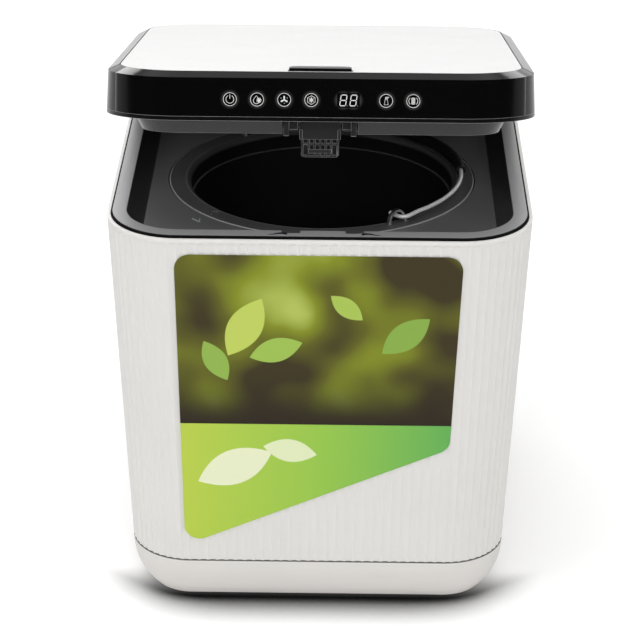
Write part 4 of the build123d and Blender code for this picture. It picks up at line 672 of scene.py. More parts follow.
FINISHES: dict[str, Finish] = {
    "casing_white": Moulded("satin_casing_white", (0.800, 0.783, 0.760), 0.42, 2400.0,
                            0.00003, 0.012, seam_z=37.1 * MM),
    "tray_white": Moulded("satin_tray_white", (0.780, 0.755, 0.725), 0.42, 2400.0,
                          0.00003, 0.012, seam_z=37.1 * MM),
    "panel_white": Gloss("polished_white", (0.88, 0.88, 0.875), 0.22),
    "black_gloss": Gloss("polished_black", (0.0018, 0.0018, 0.0019), 0.10, specular=0.3),
    "grey_satin": Moulded("satin_dark_grey", (0.026, 0.026, 0.027), 0.24, 2200.0, 0.00002, 0.06),
    "deck_grey": DeckSatin("satin_charcoal", (0.155, 0.155, 0.157), 0.34, 2200.0, 0.00002, 0.06),
    "black_plastic": Moulded("matt_black", (0.012, 0.012, 0.012), 0.48, 2200.0, 0.00003, 0.06, 0.4),
    "duct_plastic": Moulded("matt_dark_grey", (0.045, 0.045, 0.046), 0.55, 1800.0, 0.00006, 0.06),
    "white_plastic": Moulded("natural_acetal", (0.70, 0.69, 0.65), 0.35, 1500.0, 0.00002, 0.02),
    "rubber_black": Moulded("black_rubber", (0.003, 0.003, 0.003), 0.80, 1600.0,
                            0.00008, 0.08, 0.12),
    "silicone_grey": Moulded("grey_silicone", (0.050, 0.050, 0.052), 0.60, 1600.0,
                             0.00005, 0.06, 0.4),
    "label_film": PrintedLabel("printed_film", (0.42, 0.55, 0.20), 0.30),
    "pot_aluminium": Metal("drawn_aluminium", (0.66, 0.67, 0.68), 0.38, (1, 1, 0.05), 800.0),
    "bucket_coating": NonStick("sprayed_bucket_coat", (0.006, 0.006, 0.0065), 0.42,
                               flange_z=283.8 * MM, lit_step_z=270.0 * MM, rim_r=114.5 * MM,
                               mouth_r=102.0 * MM, axis_y=-22.0 * MM),
    "stirrer_coating": NonStick("sprayed_blade_coat", (0.022, 0.022, 0.023), 0.50),
    "steel": Metal("zinc_plated_steel", (0.58, 0.58, 0.59), 0.34, (1, 0.2, 1), 1200.0),
    "bright_wire": Metal("drawn_bright_wire", (0.97, 0.97, 0.97), 0.26, (0.3, 0.3, 1), 2400.0,
                         0.000004, 0.01, 0.2),
    "brass": Metal("turned_brass", (0.72, 0.52, 0.22), 0.30, (0.1, 0.1, 1), 1500.0),
    "felt": Felt("needled_felt", (0.66, 0.63, 0.56), 0.9),
    "carbon": Granules("carbon_granules", (0.015, 0.015, 0.016), 0.8),
    "board_green": Board("circuit_board", (0.010, 0.120, 0.040), 0.35),
    "board_part": Moulded("moulded_component", (0.020, 0.022, 0.026), 0.40, 1500.0, 0.00003, 0.1),
    "lamp": Lit("lamp_lens", (0.85, 0.85, 0.82), 0.25, 0.1),
    "lens_lit": Gloss("dark_lens", (0.0018, 0.0018, 0.0019), 0.10, specular=0.3),
}


# ------------------------------------------------------------------ modelling steps
class Bench:
    """Edit-mode steps on one mesh, each acting on the faces selected by the last."""

    def __init__(self, piece: bpy.types.Object) -> None:
        """Take a mesh object and enter edit mode on it.

        Args:
            piece: the mesh object.
        """
        self.piece = piece
        pick_only(piece)
        bpy.ops.object.mode_set(mode="EDIT")

    @classmethod
    def plate(cls, name: str, width: float, depth: float, radius: float, z: float,
              segments: int) -> "Bench":
        """Start from a flat plate with rounded corners, selected all over.

        Args:
            name: the piece's name.
            width: size along X.
            depth: size along Y.
            radius: corner radius.
            z: height.
            segments: faces round each corner.

        Returns:
            The bench, in edit mode.
        """
        bench = cls(start(name, bpy.ops.mesh.primitive_plane_add, (0.0, 0.0, z),
                          (width, depth, 1.0), size=1.0))
        bpy.ops.mesh.select_all(action="SELECT")
        bpy.ops.mesh.bevel(offset=radius, offset_type="OFFSET", affect="VERTICES",
                           segments=segments, profile=0.5)
        return bench.select(lambda face: True)

    def select(self, wanted: Callable[[bmesh.types.BMFace], bool]) -> "Bench":
        """Select the faces that a test picks, and nothing else.

        Args:
            wanted: the test of one face.

        Returns:
            The bench.
        """
        bpy.ops.mesh.select_mode(type="FACE")
        bpy.ops.mesh.select_all(action="DESELECT")
        mesh = bmesh.from_edit_mesh(self.piece.data)
        for face in mesh.faces:
            if wanted(face):
                face.select_set(True)
        bmesh.update_edit_mesh(self.piece.data)
        return self

    def raise_by(self, rise: float) -> "Bench":
        """Extrude the selected faces straight up, or down where rise is negative."""
        bpy.ops.mesh.extrude_region_move(TRANSFORM_OT_translate={"value": (0.0, 0.0, rise)})
        return self

    def step(self, inset: float, rise: float = 0.0) -> "Bench":
        """Inset the selected face and move what is left of it up or down.

        Args:
            inset: how far in from its edge.
            rise: how far up, or down where negative.

        Returns:
            The bench.
        """
        bpy.ops.mesh.inset(thickness=inset, depth=0.0, use_boundary=True, use_even_offset=True)
        if rise:
            bpy.ops.transform.translate(value=(0.0, 0.0, rise))
        return self

    def round_in(self, radius: float, rise: float, faces: int = 3) -> "Bench":
        """Round an edge inwards: the side turns into the flat over a quarter circle.

        Args:
            radius: of the round.
            rise: the same size, negative where the flat faces down.
            faces: in the quarter circle.

        Returns:
            The bench.
        """
        last = (0.0, 0.0)
        for k in range(1, faces + 1):
            angle = math.pi / 2 * k / faces
            here = (radius * (1 - math.cos(angle)), rise * math.sin(angle))
            self.step(here[0] - last[0], here[1] - last[1])
            last = here
        return self

    def highest(self, up: bool = True) -> "Bench":
        """Select the level faces at the very top, or at the very bottom.

        Args:
            up: whether the top is wanted.

        Returns:
            The bench.
        """
        mesh = bmesh.from_edit_mesh(self.piece.data)
        level = [f.calc_center_median().z for f in mesh.faces if abs(f.normal.z) > 0.99]
        wanted = max(level) if up else min(level)
        return self.select(lambda f: abs(f.normal.z) > 0.99
                           and abs(f.calc_center_median().z - wanted) < SAME)

    def done(self, angle_deg: float = 32.0) -> bpy.types.Object:
        """Leave edit mode with the normals outwards and smooth shading under an angle.

        Args:
            angle_deg: edges sharper than this stay sharp.

        Returns:
            The mesh object.
        """
        bpy.ops.mesh.select_all(action="SELECT")
        bpy.ops.mesh.remove_doubles(threshold=SAME)
        bpy.ops.mesh.normals_make_consistent(inside=False)
        bpy.ops.object.mode_set(mode="OBJECT")
        smooth(self.piece, angle_deg)
        return self.piece


def pick_only(piece: bpy.types.Object) -> None:
    """Leave edit mode and make one object the only one selected, and active.

    Args:
        piece: the object.
    """
    if bpy.context.object is not None and bpy.context.object.mode != "OBJECT":
        bpy.ops.object.mode_set(mode="OBJECT")
    bpy.ops.object.select_all(action="DESELECT")
    piece.select_set(True)
    bpy.context.view_layer.objects.active = piece


def smooth(piece: bpy.types.Object, angle_deg: float) -> None:
    """Shade smooth except across edges sharper than an angle."""
    pick_only(piece)
    bpy.ops.object.shade_smooth_by_angle(angle=math.radians(angle_deg))


def apply(piece: bpy.types.Object, kind: str, **settings: object) -> None:
    """Add a modifier and apply it.

    Args:
        piece: the object.
        kind: the modifier's type.
        settings: its properties.
    """
    pick_only(piece)
    modifier = piece.modifiers.new("step", kind)
    for key, value in settings.items():
        setattr(modifier, key, value)
    bpy.ops.object.modifier_apply(modifier=modifier.name)


def soften(piece: bpy.types.Object, width: float, angle_deg: float) -> None:
    """Ease the edges sharper than an angle and shade the piece smooth."""
    apply(piece, "BEVEL", width=width, segments=2, limit_method="ANGLE",
          angle_limit=math.radians(angle_deg))
    smooth(piece, FINE_CREASE_DEG)


def cut(piece: bpy.types.Object, cutters: Iterable[bpy.types.Object],
        operation: str = "DIFFERENCE") -> None:
    """Take the cutters' volumes off a piece, or add them to it, and remove the cutters.

    Args:
        piece: the object.
        cutters: what is taken off or added.
        operation: the Boolean modifier's.
    """
    for cutter in cutters:
        apply(piece, "BOOLEAN", operation=operation, solver="EXACT", object=cutter)
        bpy.data.objects.remove(cutter, do_unlink=True)


def join(name: str, pieces: Sequence[bpy.types.Object]) -> bpy.types.Object:
    """Join several meshes into one piece with a name.

    Args:
        name: the name.
        pieces: the meshes.

    Returns:
        The joined mesh object.
    """
    pick_only(pieces[0])
    for piece in pieces:
        piece.select_set(True)
    if len(pieces) > 1:
        bpy.ops.object.join()
    pieces[0].name = name
    return pieces[0]


def start(name: str, add: Callable[..., set], place: Place = (0.0, 0.0, 0.0),
          scale: Place = (1.0, 1.0, 1.0), **settings: object) -> bpy.types.Object:
    """Add a primitive, name it and apply its place and its scale.

    Args:
        name: the piece's name.
        add: the operator that adds it.
        place: its middle.
        scale: its scale.
        settings: the operator's other settings.

    Returns:
        The mesh object.
    """
    bpy.ops.object.select_all(action="DESELECT")
    add(location=place, **settings)
    made = bpy.context.object
    made.name = name
    made.scale = scale
    bpy.ops.object.transform_apply(location=True, rotation=True, scale=True)
    return made


def block(name: str, low: Place, high: Place) -> bpy.types.Object:
    """Return a box between two corners, used as a cutter or a start.

    Args:
        name: its name.
        low: one corner.
        high: the opposite corner.

    Returns:
        The mesh object.
    """
    middle = [(a + b) / 2 for a, b in zip(low, high)]
    size = [b - a for a, b in zip(low, high)]
    return start(name, bpy.ops.mesh.primitive_cube_add, middle, size, size=1.0)


def drum(name: str, radius: float, z0: float, z1: float, x: float, y: float) -> bpy.types.Object:
    """Return an upright cylinder, used as a cutter."""
    return start(name, bpy.ops.mesh.primitive_cylinder_add, (x, y, (z0 + z1) / 2),
                 vertices=32, radius=radius, depth=z1 - z0)


def pipes(name: str, lines: Iterable[Sequence[Place]], radius: float, roundness: int,
          kind: str = "POLY") -> bpy.types.Object:
    """Return round tubes along lines, as one mesh.

    Args:
        name: the piece's name.
        lines: each line's points; a POLY line that comes back to its start is closed.
        radius: of the tubes.
        roundness: how finely they are rounded.
        kind: POLY for straight runs between the points, NURBS for a smooth line.

    Returns:
        The mesh object.
    """
    curve = bpy.data.curves.new(name, "CURVE")
    curve.dimensions = "3D"
    curve.bevel_depth = radius
    curve.bevel_resolution = roundness
    curve.resolution_u = 6
    curve.use_fill_caps = True
    for line in lines:
        closed = kind == "POLY" and len(line) > 3 and math.dist(line[0], line[-1]) < SAME
        points = line[:-1] if closed else line
        spline = curve.splines.new(kind)
        spline.points.add(len(points) - 1)
        spline.use_cyclic_u = closed
        for point, place in zip(spline.points, points):
            point.co = (*place, 1.0)
        if kind == "NURBS":
            spline.order_u = 3
            spline.use_endpoint_u = True
    piece = bpy.data.objects.new(name, curve)
    bpy.context.scene.collection.objects.link(piece)
    pick_only(piece)
    bpy.ops.object.convert(target="MESH")
    smooth(piece, FINE_CREASE_DEG)
    return piece


def body_of_node(node: str) -> str:
    """Return the CAD body that a node belongs to.

    Args:
        node: the CAD node.

    Returns:
        The body's name.
    """
    for body, nodes in frame["record"]["behaviour"]["bodies"].items():
        if node in nodes:
            return body
    raise KeyError(node)


def slot_of_node(node: str) -> str:
    """Return the record's material slot of a node."""
    return next(s["material_slot"] for s in frame["record"]["subparts"] if s["node"] == node)


def dress(piece: bpy.types.Object, slot: str, body: str, *nodes: str,
          finish: Optional[Finish] = None) -> bpy.types.Object:
    """Give a piece its finish, body, slot and the CAD nodes it stands for.

    Args:
        piece: the object.
        slot: the record's material slot.
        body: the CAD body it rides on.
        nodes: the CAD nodes it replaces.
        finish: its finish, where the slot's own isn't wanted.

    Returns:
        The piece.
    """
    piece.data.materials.clear()
    piece.data.materials.append((finish or FINISHES[slot]).material())
    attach(piece, body)
    if nodes:
        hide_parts(*nodes)
    return piece


# The flats of these nodes have openings that merging their faces would close.
KEPT_FACETS = ("lid_shell", "latch_housing", "filter_drawer")


def eased(node: str, width: float, finish: Optional[Finish] = None,
          edge: Optional[Finish] = None) -> bpy.types.Object:
    """Stand a copy of a CAD node in its place, with its sharp edges eased.

    Args:
        node: the CAD node.
        width: of the eased edge, in metres.
        finish: its finish, where the slot's own isn't wanted.
        edge: the finish of the eased edges, where a painted highlight or painted shade lies on
            them.

    Returns:
        The new piece.
    """
    source = frame["nodes"][node]
    piece = bpy.data.objects.new(f"{node}_moulding", source.data.copy())
    bpy.context.scene.collection.objects.link(piece)
    pick_only(piece)
    bpy.ops.mesh.customdata_custom_splitnormals_clear()
    bpy.ops.object.mode_set(mode="EDIT")
    bpy.ops.mesh.select_all(action="SELECT")
    bpy.ops.mesh.remove_doubles(threshold=SAME)
    if node not in KEPT_FACETS:
        bpy.ops.mesh.dissolve_limited(angle_limit=math.radians(FLAT_DEG))
    bpy.ops.object.mode_set(mode="OBJECT")
    dress(piece, slot_of_node(node), body_of_node(node), node, finish=finish)
    if edge is not None:
        piece.data.materials.append(edge.material())
    apply(piece, "BEVEL", width=width, segments=2, limit_method="ANGLE",
          angle_limit=math.radians(SHARP_DEG), use_clamp_overlap=True,
          miter_outer="MITER_ARC", material=-1 if edge is None else 1)
    apply(piece, "TRIANGULATE", min_vertices=5)
    smooth(piece, CREASE_DEG)
    apply(piece, "WEIGHTED_NORMAL", keep_sharp=True, weight=80)
    return piece


def trim_above(piece: bpy.types.Object, z: float) -> None:
    """Cut off what stands above a height."""
    cut(piece, [block("cutter", (-0.2, -0.2, z), (0.2, 0.2, z + 0.1))])
    smooth(piece, CREASE_DEG)


# ------------------------------------------------------------------ shared sizes
@dataclass(frozen=True)
class Body:
    """Sizes that several sub-assemblies share, as the frame has them."""

    width: float = 303.4 * MM
    depth: float = 368.0 * MM
    side_taper: float = 2.5 * MM        # how much more than the front the sides lean in
    corner: float = 52.0 * MM
    seam_corner: float = 45.0 * MM
    lean: float = 10.15 * MM
    seam_z: float = 37.4 * MM
    casing_top: float = 299.6 * MM
    rim_z: float = 301.7 * MM
    lid_z: float = 302.2 * MM
    flange_z: float = 283.8 * MM
    bucket_y: float = -22.0 * MM
    hinge_y: float = 176.5 * MM
    hinge_z: float = 310.2 * MM
    open_deg: float = 13.24

    @property
    def front_y(self) -> float:
        """Return the front face's place."""
        return -self.depth / 2

    def lean_at(self, z: float) -> float:
        """Return how far the casing stands in from the rim's outline at a height."""
        return self.lean * (self.casing_top - z) / (self.casing_top - self.seam_z)

    def side_taper_at(self, z: float) -> float:
        """Return how much more than the front each side stands in at a height."""
        return self.side_taper * self.lean_at(z) / self.lean

    @property
    def swing(self) -> Matrix:
        """Return the turn that takes the shut lid to where it rests."""
        hinge = Vector((0.0, self.hinge_y, self.hinge_z))
        turn = Matrix.Rotation(math.radians(-self.open_deg), 4, "X")
        return Matrix.Translation(hinge) @ turn @ Matrix.Translation(-hinge)

    def opened(self, place: Vector) -> Vector:
        """Return where a point of the shut lid rests."""
        return self.swing @ place

    def swing_open(self, piece: bpy.types.Object) -> bpy.types.Object:
        """Turn a piece that was modelled on the shut lid to where it rests."""
        piece.data.transform(self.swing)
        return piece


BODY = Body()


# ------------------------------------------------------------------ casing and tray
@dataclass
class FlutedCasing:
    """Leaning casing whose sides are cut into narrow upright scallops."""

    wall: float = 2.6 * MM
    groove: float = 0.85 * MM
    crown_drop: float = 2.4 * MM        # from the top edge to the tops of the arches
    arch: float = 2.6 * MM              # height of each arch
    edge: float = 0.4 * MM
    across: int = 8                     # faces across one scallop
    per_front: int = 28
    per_side: int = 38
    per_corner: int = 12
    bands: int = 7                      # level bands below the fine rows
    fine: float = 7.0 * MM              # how far below the crown the fine rows start
    fine_rows: tuple = (5.2, 4.2, 3.4, 2.8, 2.2, 1.7, 1.2, 0.8, 0.4, 0.0)
    inner_edge: float = 0.2 * MM
    arch_fade: float = 0.9 * MM
    plain_margin: float = 3.0 * MM      # smooth border round each rear opening
    fade: float = 5.0 * MM
    rear_y: Spot = (0.12, 0.19)         # where the openings are cut through
    openings: tuple = (
        (-46.0 * MM, 46.0 * MM, 200.0 * MM, 258.0 * MM),
        (-30.0 * MM, 30.0 * MM, 128.0 * MM, 188.0 * MM),
        (73.5 * MM, 102.5 * MM, 50.0 * MM, 72.0 * MM),
    )

    def columns(self) -> list[tuple[int, float, bool, float]]:
        """List the upright lines: corner, share of the run, on an arc, place in the scallop.

        Returns:
            The lines, anticlockwise from the front right corner.
        """
        lines = []
        for corner in range(4):
            straight = self.per_side if corner % 2 == 0 else self.per_front
            for on_arc, count in ((True, self.per_corner), (False, straight)):
                steps = count * self.across
                for k in range(steps):
                    lines.append((corner, k / steps, on_arc, (k % self.across) / self.across))
        return lines

    def rows(self) -> list[tuple[float, float, bool]]:
        """List the level lines up the outside and down the inside: height, inset, outside.

        Returns:
            The lines, in the order that the ring is pulled through them.
        """
        low, top, e, i = BODY.seam_z, BODY.casing_top, self.edge, self.inner_edge
        crown = top - self.crown_drop
        band = (crown - self.fine - low) / self.bands
        outer = [(low, e), (low + e, 0.0)]
        outer += [(low + band * k, 0.0) for k in range(1, self.bands + 1)]
        outer += [(crown - drop * MM, 0.0) for drop in self.fine_rows]
        outer += [(top - e, 0.0), (top - 0.3 * e, 0.3 * e), (top, e)]
        inner = [(top, self.wall - i), (top - i, self.wall), (low + i, self.wall),
                 (low, self.wall - i)]
        return [(z, inset, True) for z, inset in outer] + [(z, inset, False) for z, inset in inner]

    def groove_at(self, across: float, z: float, x: float, y: float) -> float:
        """Return how deep the scallops are at one point.

        Args:
            across: 0 to 1 across one scallop.
            z: height.
            x: place along X.
            y: place along Y.

        Returns:
            The depth, in metres.
        """
        s = 2 * across - 1
        below = BODY.casing_top - self.crown_drop - z
        arch = self.arch * (1 - math.sqrt(max(0.0, 1 - s * s)))
        share = min(1.0, max(0.0, (below - arch) / self.arch_fade))
        if y > 0.1:                     # only the rear has openings
            for x0, x1, z0, z1 in self.openings:
                away = math.hypot(max(x0 - x, 0.0, x - x1), max(z0 - z, 0.0, z - z1))
                share *= min(1.0, max(0.0, (away - self.plain_margin) / self.fade))
        return self.groove * (1 - s * s) * share * share * (3 - 2 * share)

    def spot(self, column: tuple[int, float, bool, float], row: tuple[float, float, bool]
             ) -> Vector:
        """Return where one column crosses one row.

        Args:
            column: from columns().
            row: from rows().

        Returns:
            The point.
        """
        corner, share, on_arc, across = column
        z, inset, outside = row
        lean = BODY.lean_at(z)
        radius = BODY.corner + (BODY.seam_corner - BODY.corner) * lean / BODY.lean
        half_w = BODY.width / 2 - lean - BODY.side_taper_at(z) - radius
        half_d = BODY.depth / 2 - lean - radius
        signs = ((1, -1), (1, 1), (-1, 1), (-1, -1))
        cx, cy = signs[corner][0] * half_w, signs[corner][1] * half_d
        angle = math.radians(-90 + 90 * corner + (90 * share if on_arc else 90))
        nx, ny = math.cos(angle), math.sin(angle)
        x, y = cx + radius * nx, cy + radius * ny
        if not on_arc:
            nxt = signs[(corner + 1) % 4]
            x += (nxt[0] * half_w - cx) * share
            y += (nxt[1] * half_d - cy) * share
        if outside:
            inset += self.groove_at(across, z, x, y)
        return Vector((x - nx * inset, y - ny * inset, z))

    def build(self) -> list[bpy.types.Object]:
        """Pull a ring of edges up row by row, place its points and close it.

        Returns:
            Its dressed pieces.
        """
        columns, rows = self.columns(), self.rows()
        piece = start("fluted_casing", bpy.ops.mesh.primitive_circle_add,
                      vertices=len(columns), radius=1.0)
        bench = Bench(piece)
        bpy.ops.mesh.select_all(action="SELECT")
        for _ in rows[1:]:
            bench.raise_by(1.0)
        bpy.ops.object.mode_set(mode="OBJECT")
        turn = 2 * math.pi / len(columns)
        for vertex in piece.data.vertices:
            x, y, z = vertex.co
            column = round(math.atan2(y, x) / turn) % len(columns)
            vertex.co = self.spot(columns[column], rows[round(z)])
        low = BODY.seam_z
        bpy.ops.object.mode_set(mode="EDIT")
        bpy.ops.mesh.select_mode(type="EDGE")
        bpy.ops.mesh.select_all(action="DESELECT")
        mesh = bmesh.from_edit_mesh(piece.data)
        for edge in mesh.edges:
            if edge.is_boundary and abs(edge.verts[0].co.z - low) < SAME:
                edge.select_set(True)
        bmesh.update_edit_mesh(piece.data)
        bpy.ops.mesh.bridge_edge_loops()
        bpy.ops.mesh.select_all(action="SELECT")
        bpy.ops.mesh.normals_make_consistent(inside=False)
        bpy.ops.object.mode_set(mode="OBJECT")
        near, far = self.rear_y
        cut(piece, [block("cutter", (x0, near, z0), (x1, far, z1))
                    for x0, x1, z0, z1 in self.openings])
        smooth(piece, 30.0)
        return [dress(piece, "casing_white", "machine_body", "outer_casing")]


@dataclass
class BaseTray:
    """Base tray: sides that curve in on one arc to a flat underside."""

    seam_gap: float = 0.6 * MM
    bottom: float = 2.0 * MM
    foot_inset: float = 14.7 * MM
    wall: float = 3.0 * MM
    spigot: float = 6.0 * MM
    fit: float = 0.3 * MM
    casing_wall: float = 2.6 * MM
    edge: float = 0.5 * MM
    bands: int = 12
    start: float = 0.2 * MM             # thickness of the plate that the sides grow from
    spigot_wall: float = 2.0 * MM
    below_seam: float = 3.0 * MM        # how far under the seam the inside's arc starts
    foot_round: Spot = (1.2 * MM, 0.8 * MM)
    screw: tuple = (106.0 * MM, 140.0 * MM, 4.2 * MM)       # across, along and radius
    foot: tuple = (92.0 * MM, 126.0 * MM, 4.0 * MM)

    def arc(self, low: float) -> list[Spot]:
        """List the steps down one arc of the side to a height: inset and rise of each.

        Args:
            low: where the arc ends.

        Returns:
            Inset and rise of each step.
        """
        top = BODY.seam_z - self.seam_gap
        height = top - self.bottom
        sweep = 2 * math.atan2(self.foot_inset, height)
        radius = height / math.sin(sweep)
        last, steps = (0.0, top), []
        for k in range(1, self.bands + 1):
            angle = sweep * k / self.bands
            here = (radius * (1 - math.cos(angle)),
                    top - (top - low) * math.sin(angle) / math.sin(sweep))
            steps.append((here[0] - last[0], here[1] - last[1]))
            last = here
        return steps

    def build(self) -> list[bpy.types.Object]:
        """Step a rounded plate down the outside, then up and down the inside.

        Returns:
            Its dressed pieces.
        """
        top = BODY.seam_z - self.seam_gap
        width = BODY.width - 2 * (BODY.lean + BODY.side_taper)
        depth = BODY.depth - 2 * BODY.lean
        bench = Bench.plate("base_tray_moulding", width, depth, BODY.seam_corner,
                            top - self.start, 20)
        bench.raise_by(self.start - self.edge)
        bench.highest(up=False)
        for inset, rise in self.arc(self.bottom):
            bench.step(inset, rise + self.start / self.bands)
        bench.round_in(self.foot_round[0], -self.foot_round[1])
        bench.highest()
        bench.round_in(self.edge, self.edge)
        bench.step(self.casing_wall + self.fit - self.edge)
        bench.raise_by(self.seam_gap + self.spigot)
        bench.step(self.spigot_wall)
        bench.raise_by(-self.seam_gap - self.spigot - self.below_seam)
        for inset, rise in self.arc(self.bottom + self.wall)[1:]:
            bench.step(inset, rise)
        tray = bench.done()
        through = self.bottom + self.wall + 1.0 * MM
        cut(tray, [drum("cutter", radius, 0.0, through, x * across, y * along)
                   for across, along, radius in (self.screw, self.foot)
                   for x in (-1, 1) for y in (-1, 1)])
        smooth(tray, 32.0)
        return [dress(tray, "tray_white", "machine_body", "base_tray")]


# ------------------------------------------------------------------ lid's front
class Mark(Enum):
    """The pictograms on the fascia."""

    POWER = "power"
    DRY = "dry"
    BLADES = "blades"
    COOL = "cool"
    RINSE = "rinse"
    FILTER = "filter"


@dataclass
class FasciaMarks:
    """Lit rings, pictograms and two digits on the lid's black front."""

    ring: float = 4.5 * MM
    line: float = 0.38 * MM
    bar: float = 0.66 * MM
    proud: float = 0.06 * MM
    mark_z: float = 14.9 * MM           # above the lid's lower edge
    digit_x: float = 19.4 * MM
    digit_height: float = 7.4 * MM
    digit_width: float = 4.0 * MM
    digit_pitch: float = 6.9 * MM
    digit_gap: float = 0.35 * MM
    slant: float = 0.14
    places: tuple = (
        (-61.5 * MM, Mark.POWER), (-42.97 * MM, Mark.DRY), (-24.44 * MM, Mark.BLADES),
        (-5.91 * MM, Mark.COOL), (45.1 * MM, Mark.RINSE), (63.63 * MM, Mark.FILTER),
    )

    def circle(self, radius: float, start_deg: float = 0.0, sweep_deg: float = 360.0,
               x: float = 0.0, z: float = 0.0) -> list[Spot]:
        """List points on an arc about a centre, in degrees from +X."""
        count = max(3, round(sweep_deg / 12))
        return [polar(radius, start_deg + sweep_deg * k / count, x, z) for k in range(count + 1)]

    def strokes(self, mark: Mark) -> list[list[Spot]]:
        """Return a pictogram's strokes about its own centre, in fifths of the ring's radius.

        Args:
            mark: which pictogram.

        Returns:
            Each stroke's points.
        """
        if mark is Mark.POWER:
            return [self.circle(3.0, 118.0, 304.0), [(0.0, 0.4), (0.0, 3.7)]]
        if mark is Mark.DRY:
            drop = self.circle(2.3, -218.0, 256.0, -0.5, -0.9)
            petals = [polar(0.95, math.degrees(k * 1.257), 1.5, -0.6) for k in range(5)]
            return ([drop + [(-0.5, 3.0)] + drop[:1]]
                    + [self.circle(0.75, x=x, z=z) for x, z in petals])
        if mark is Mark.BLADES:
            arm = [[(0.4 * lean, 0.0), (lean, reach)]
                   for lean, reach in ((-0.5, 2.6), (0.0, 3.1), (0.5, 2.6))]
            turns = [Matrix.Rotation(math.radians(120.0 * k), 2) for k in range(3)]
            return [[tuple(turn @ Vector(end)) for end in line]
                    for turn in turns for line in arm + [[(2.0, 1.6), (2.6, 1.3)]]]
        if mark is Mark.COOL:
            spokes = [[polar(-2.2, angle), polar(2.2, angle)] for angle in (90.0, 30.0, -30.0)]
            return spokes + [self.circle(1.1), [polar(3.3, 60.0 * k + 30.0) for k in range(7)]]
        if mark is Mark.RINSE:
            bell = [(-1.4, -3.0), (-0.7, 1.1), (0.9, 1.1), (1.6, -3.0)]
            hood = [(-0.7, 1.6), (-0.4, 2.7), (2.4, 3.0), (0.9, 1.6)]
            return [bell + bell[:1], hood + hood[:1], [(-0.5, 2.1), (1.6, 2.4)]]
        bars = [[(k * 0.75, -2.3), (k * 0.75, 2.3)] for k in (-1.5, -0.5, 0.5, 1.5)]
        rims = [[(-1.1, z), (1.1, z)] for z in (-2.3, -0.8, 0.8, 2.3)]
        return bars + rims + [self.circle(3.4, start, 90.0) for start in (135.0, -45.0)]

    def ink(self, name: str, strokes: Iterable[Sequence[Spot]], line: float
            ) -> bpy.types.Object:
        """Draw strokes as thin raised lines on the lid's front face.

        Args:
            name: the piece's name.
            strokes: points across and up, in metres, on the shut lid.
            line: the lines' width.

        Returns:
            The mesh, in place on the open lid.
        """
        lines = [[(x, 0.0, z) for x, z in stroke] for stroke in strokes]
        piece = pipes(name, lines, line / 2, 1)
        flat = Matrix.Diagonal((1.0, 2 * self.proud / line, 1.0, 1.0))
        piece.data.transform(Matrix.Translation((0, BODY.front_y, 0)) @ flat)
        smooth(piece, FINE_CREASE_DEG)
        return BODY.swing_open(piece)

    def digit(self, x: float) -> list[list[Spot]]:
        """Return the seven bars of one lit digit and its point.

        Args:
            x: its middle.

        Returns:
            Each bar's two ends, across and up.
        """
        h, w, gap = self.digit_height / 2, self.digit_width / 2, self.digit_gap
        z0 = BODY.lid_z + self.mark_z
        bars = []
        for z in (-h, 0.0, h):
            bars.append([(-w + gap, z), (w - gap, z)])
        for side in (-w, w):
            for low, high in ((-h, 0.0), (0.0, h)):
                bars.append([(side, low + gap), (side, high - gap)])
        bars.append([(w + 1.2 * MM, -h), (w + 1.25 * MM, -h + 0.12 * MM)])
        return [[(x + px + self.slant * pz, z0 + pz) for px, pz in bar] for bar in bars]

    def build(self) -> list[bpy.types.Object]:
        """Draw the rings, the pictograms and the digits.

        Returns:
            Its dressed pieces.
        """
        z = BODY.lid_z + self.mark_z
        glow = Lit("lit_mark", (0.60, 0.61, 0.60), 0.4, 0.35)
        made = []
        unit = self.ring / 5
        for x, mark in self.places:
            lines = [self.circle(5.0)] + self.strokes(mark)
            moved = [[(x + px * unit, z + pz * unit) for px, pz in stroke] for stroke in lines]
            piece = self.ink(f"icon_{mark.value}", moved, self.line)
            made.append(dress(piece, "lamp", "lid", finish=glow))
        half = self.digit_pitch / 2
        bars = self.digit(self.digit_x - half) + self.digit(self.digit_x + half)
        digits = self.ink("countdown_digits", bars, self.bar)
        made.append(dress(digits, "lamp", "lid", finish=glow))
        return made


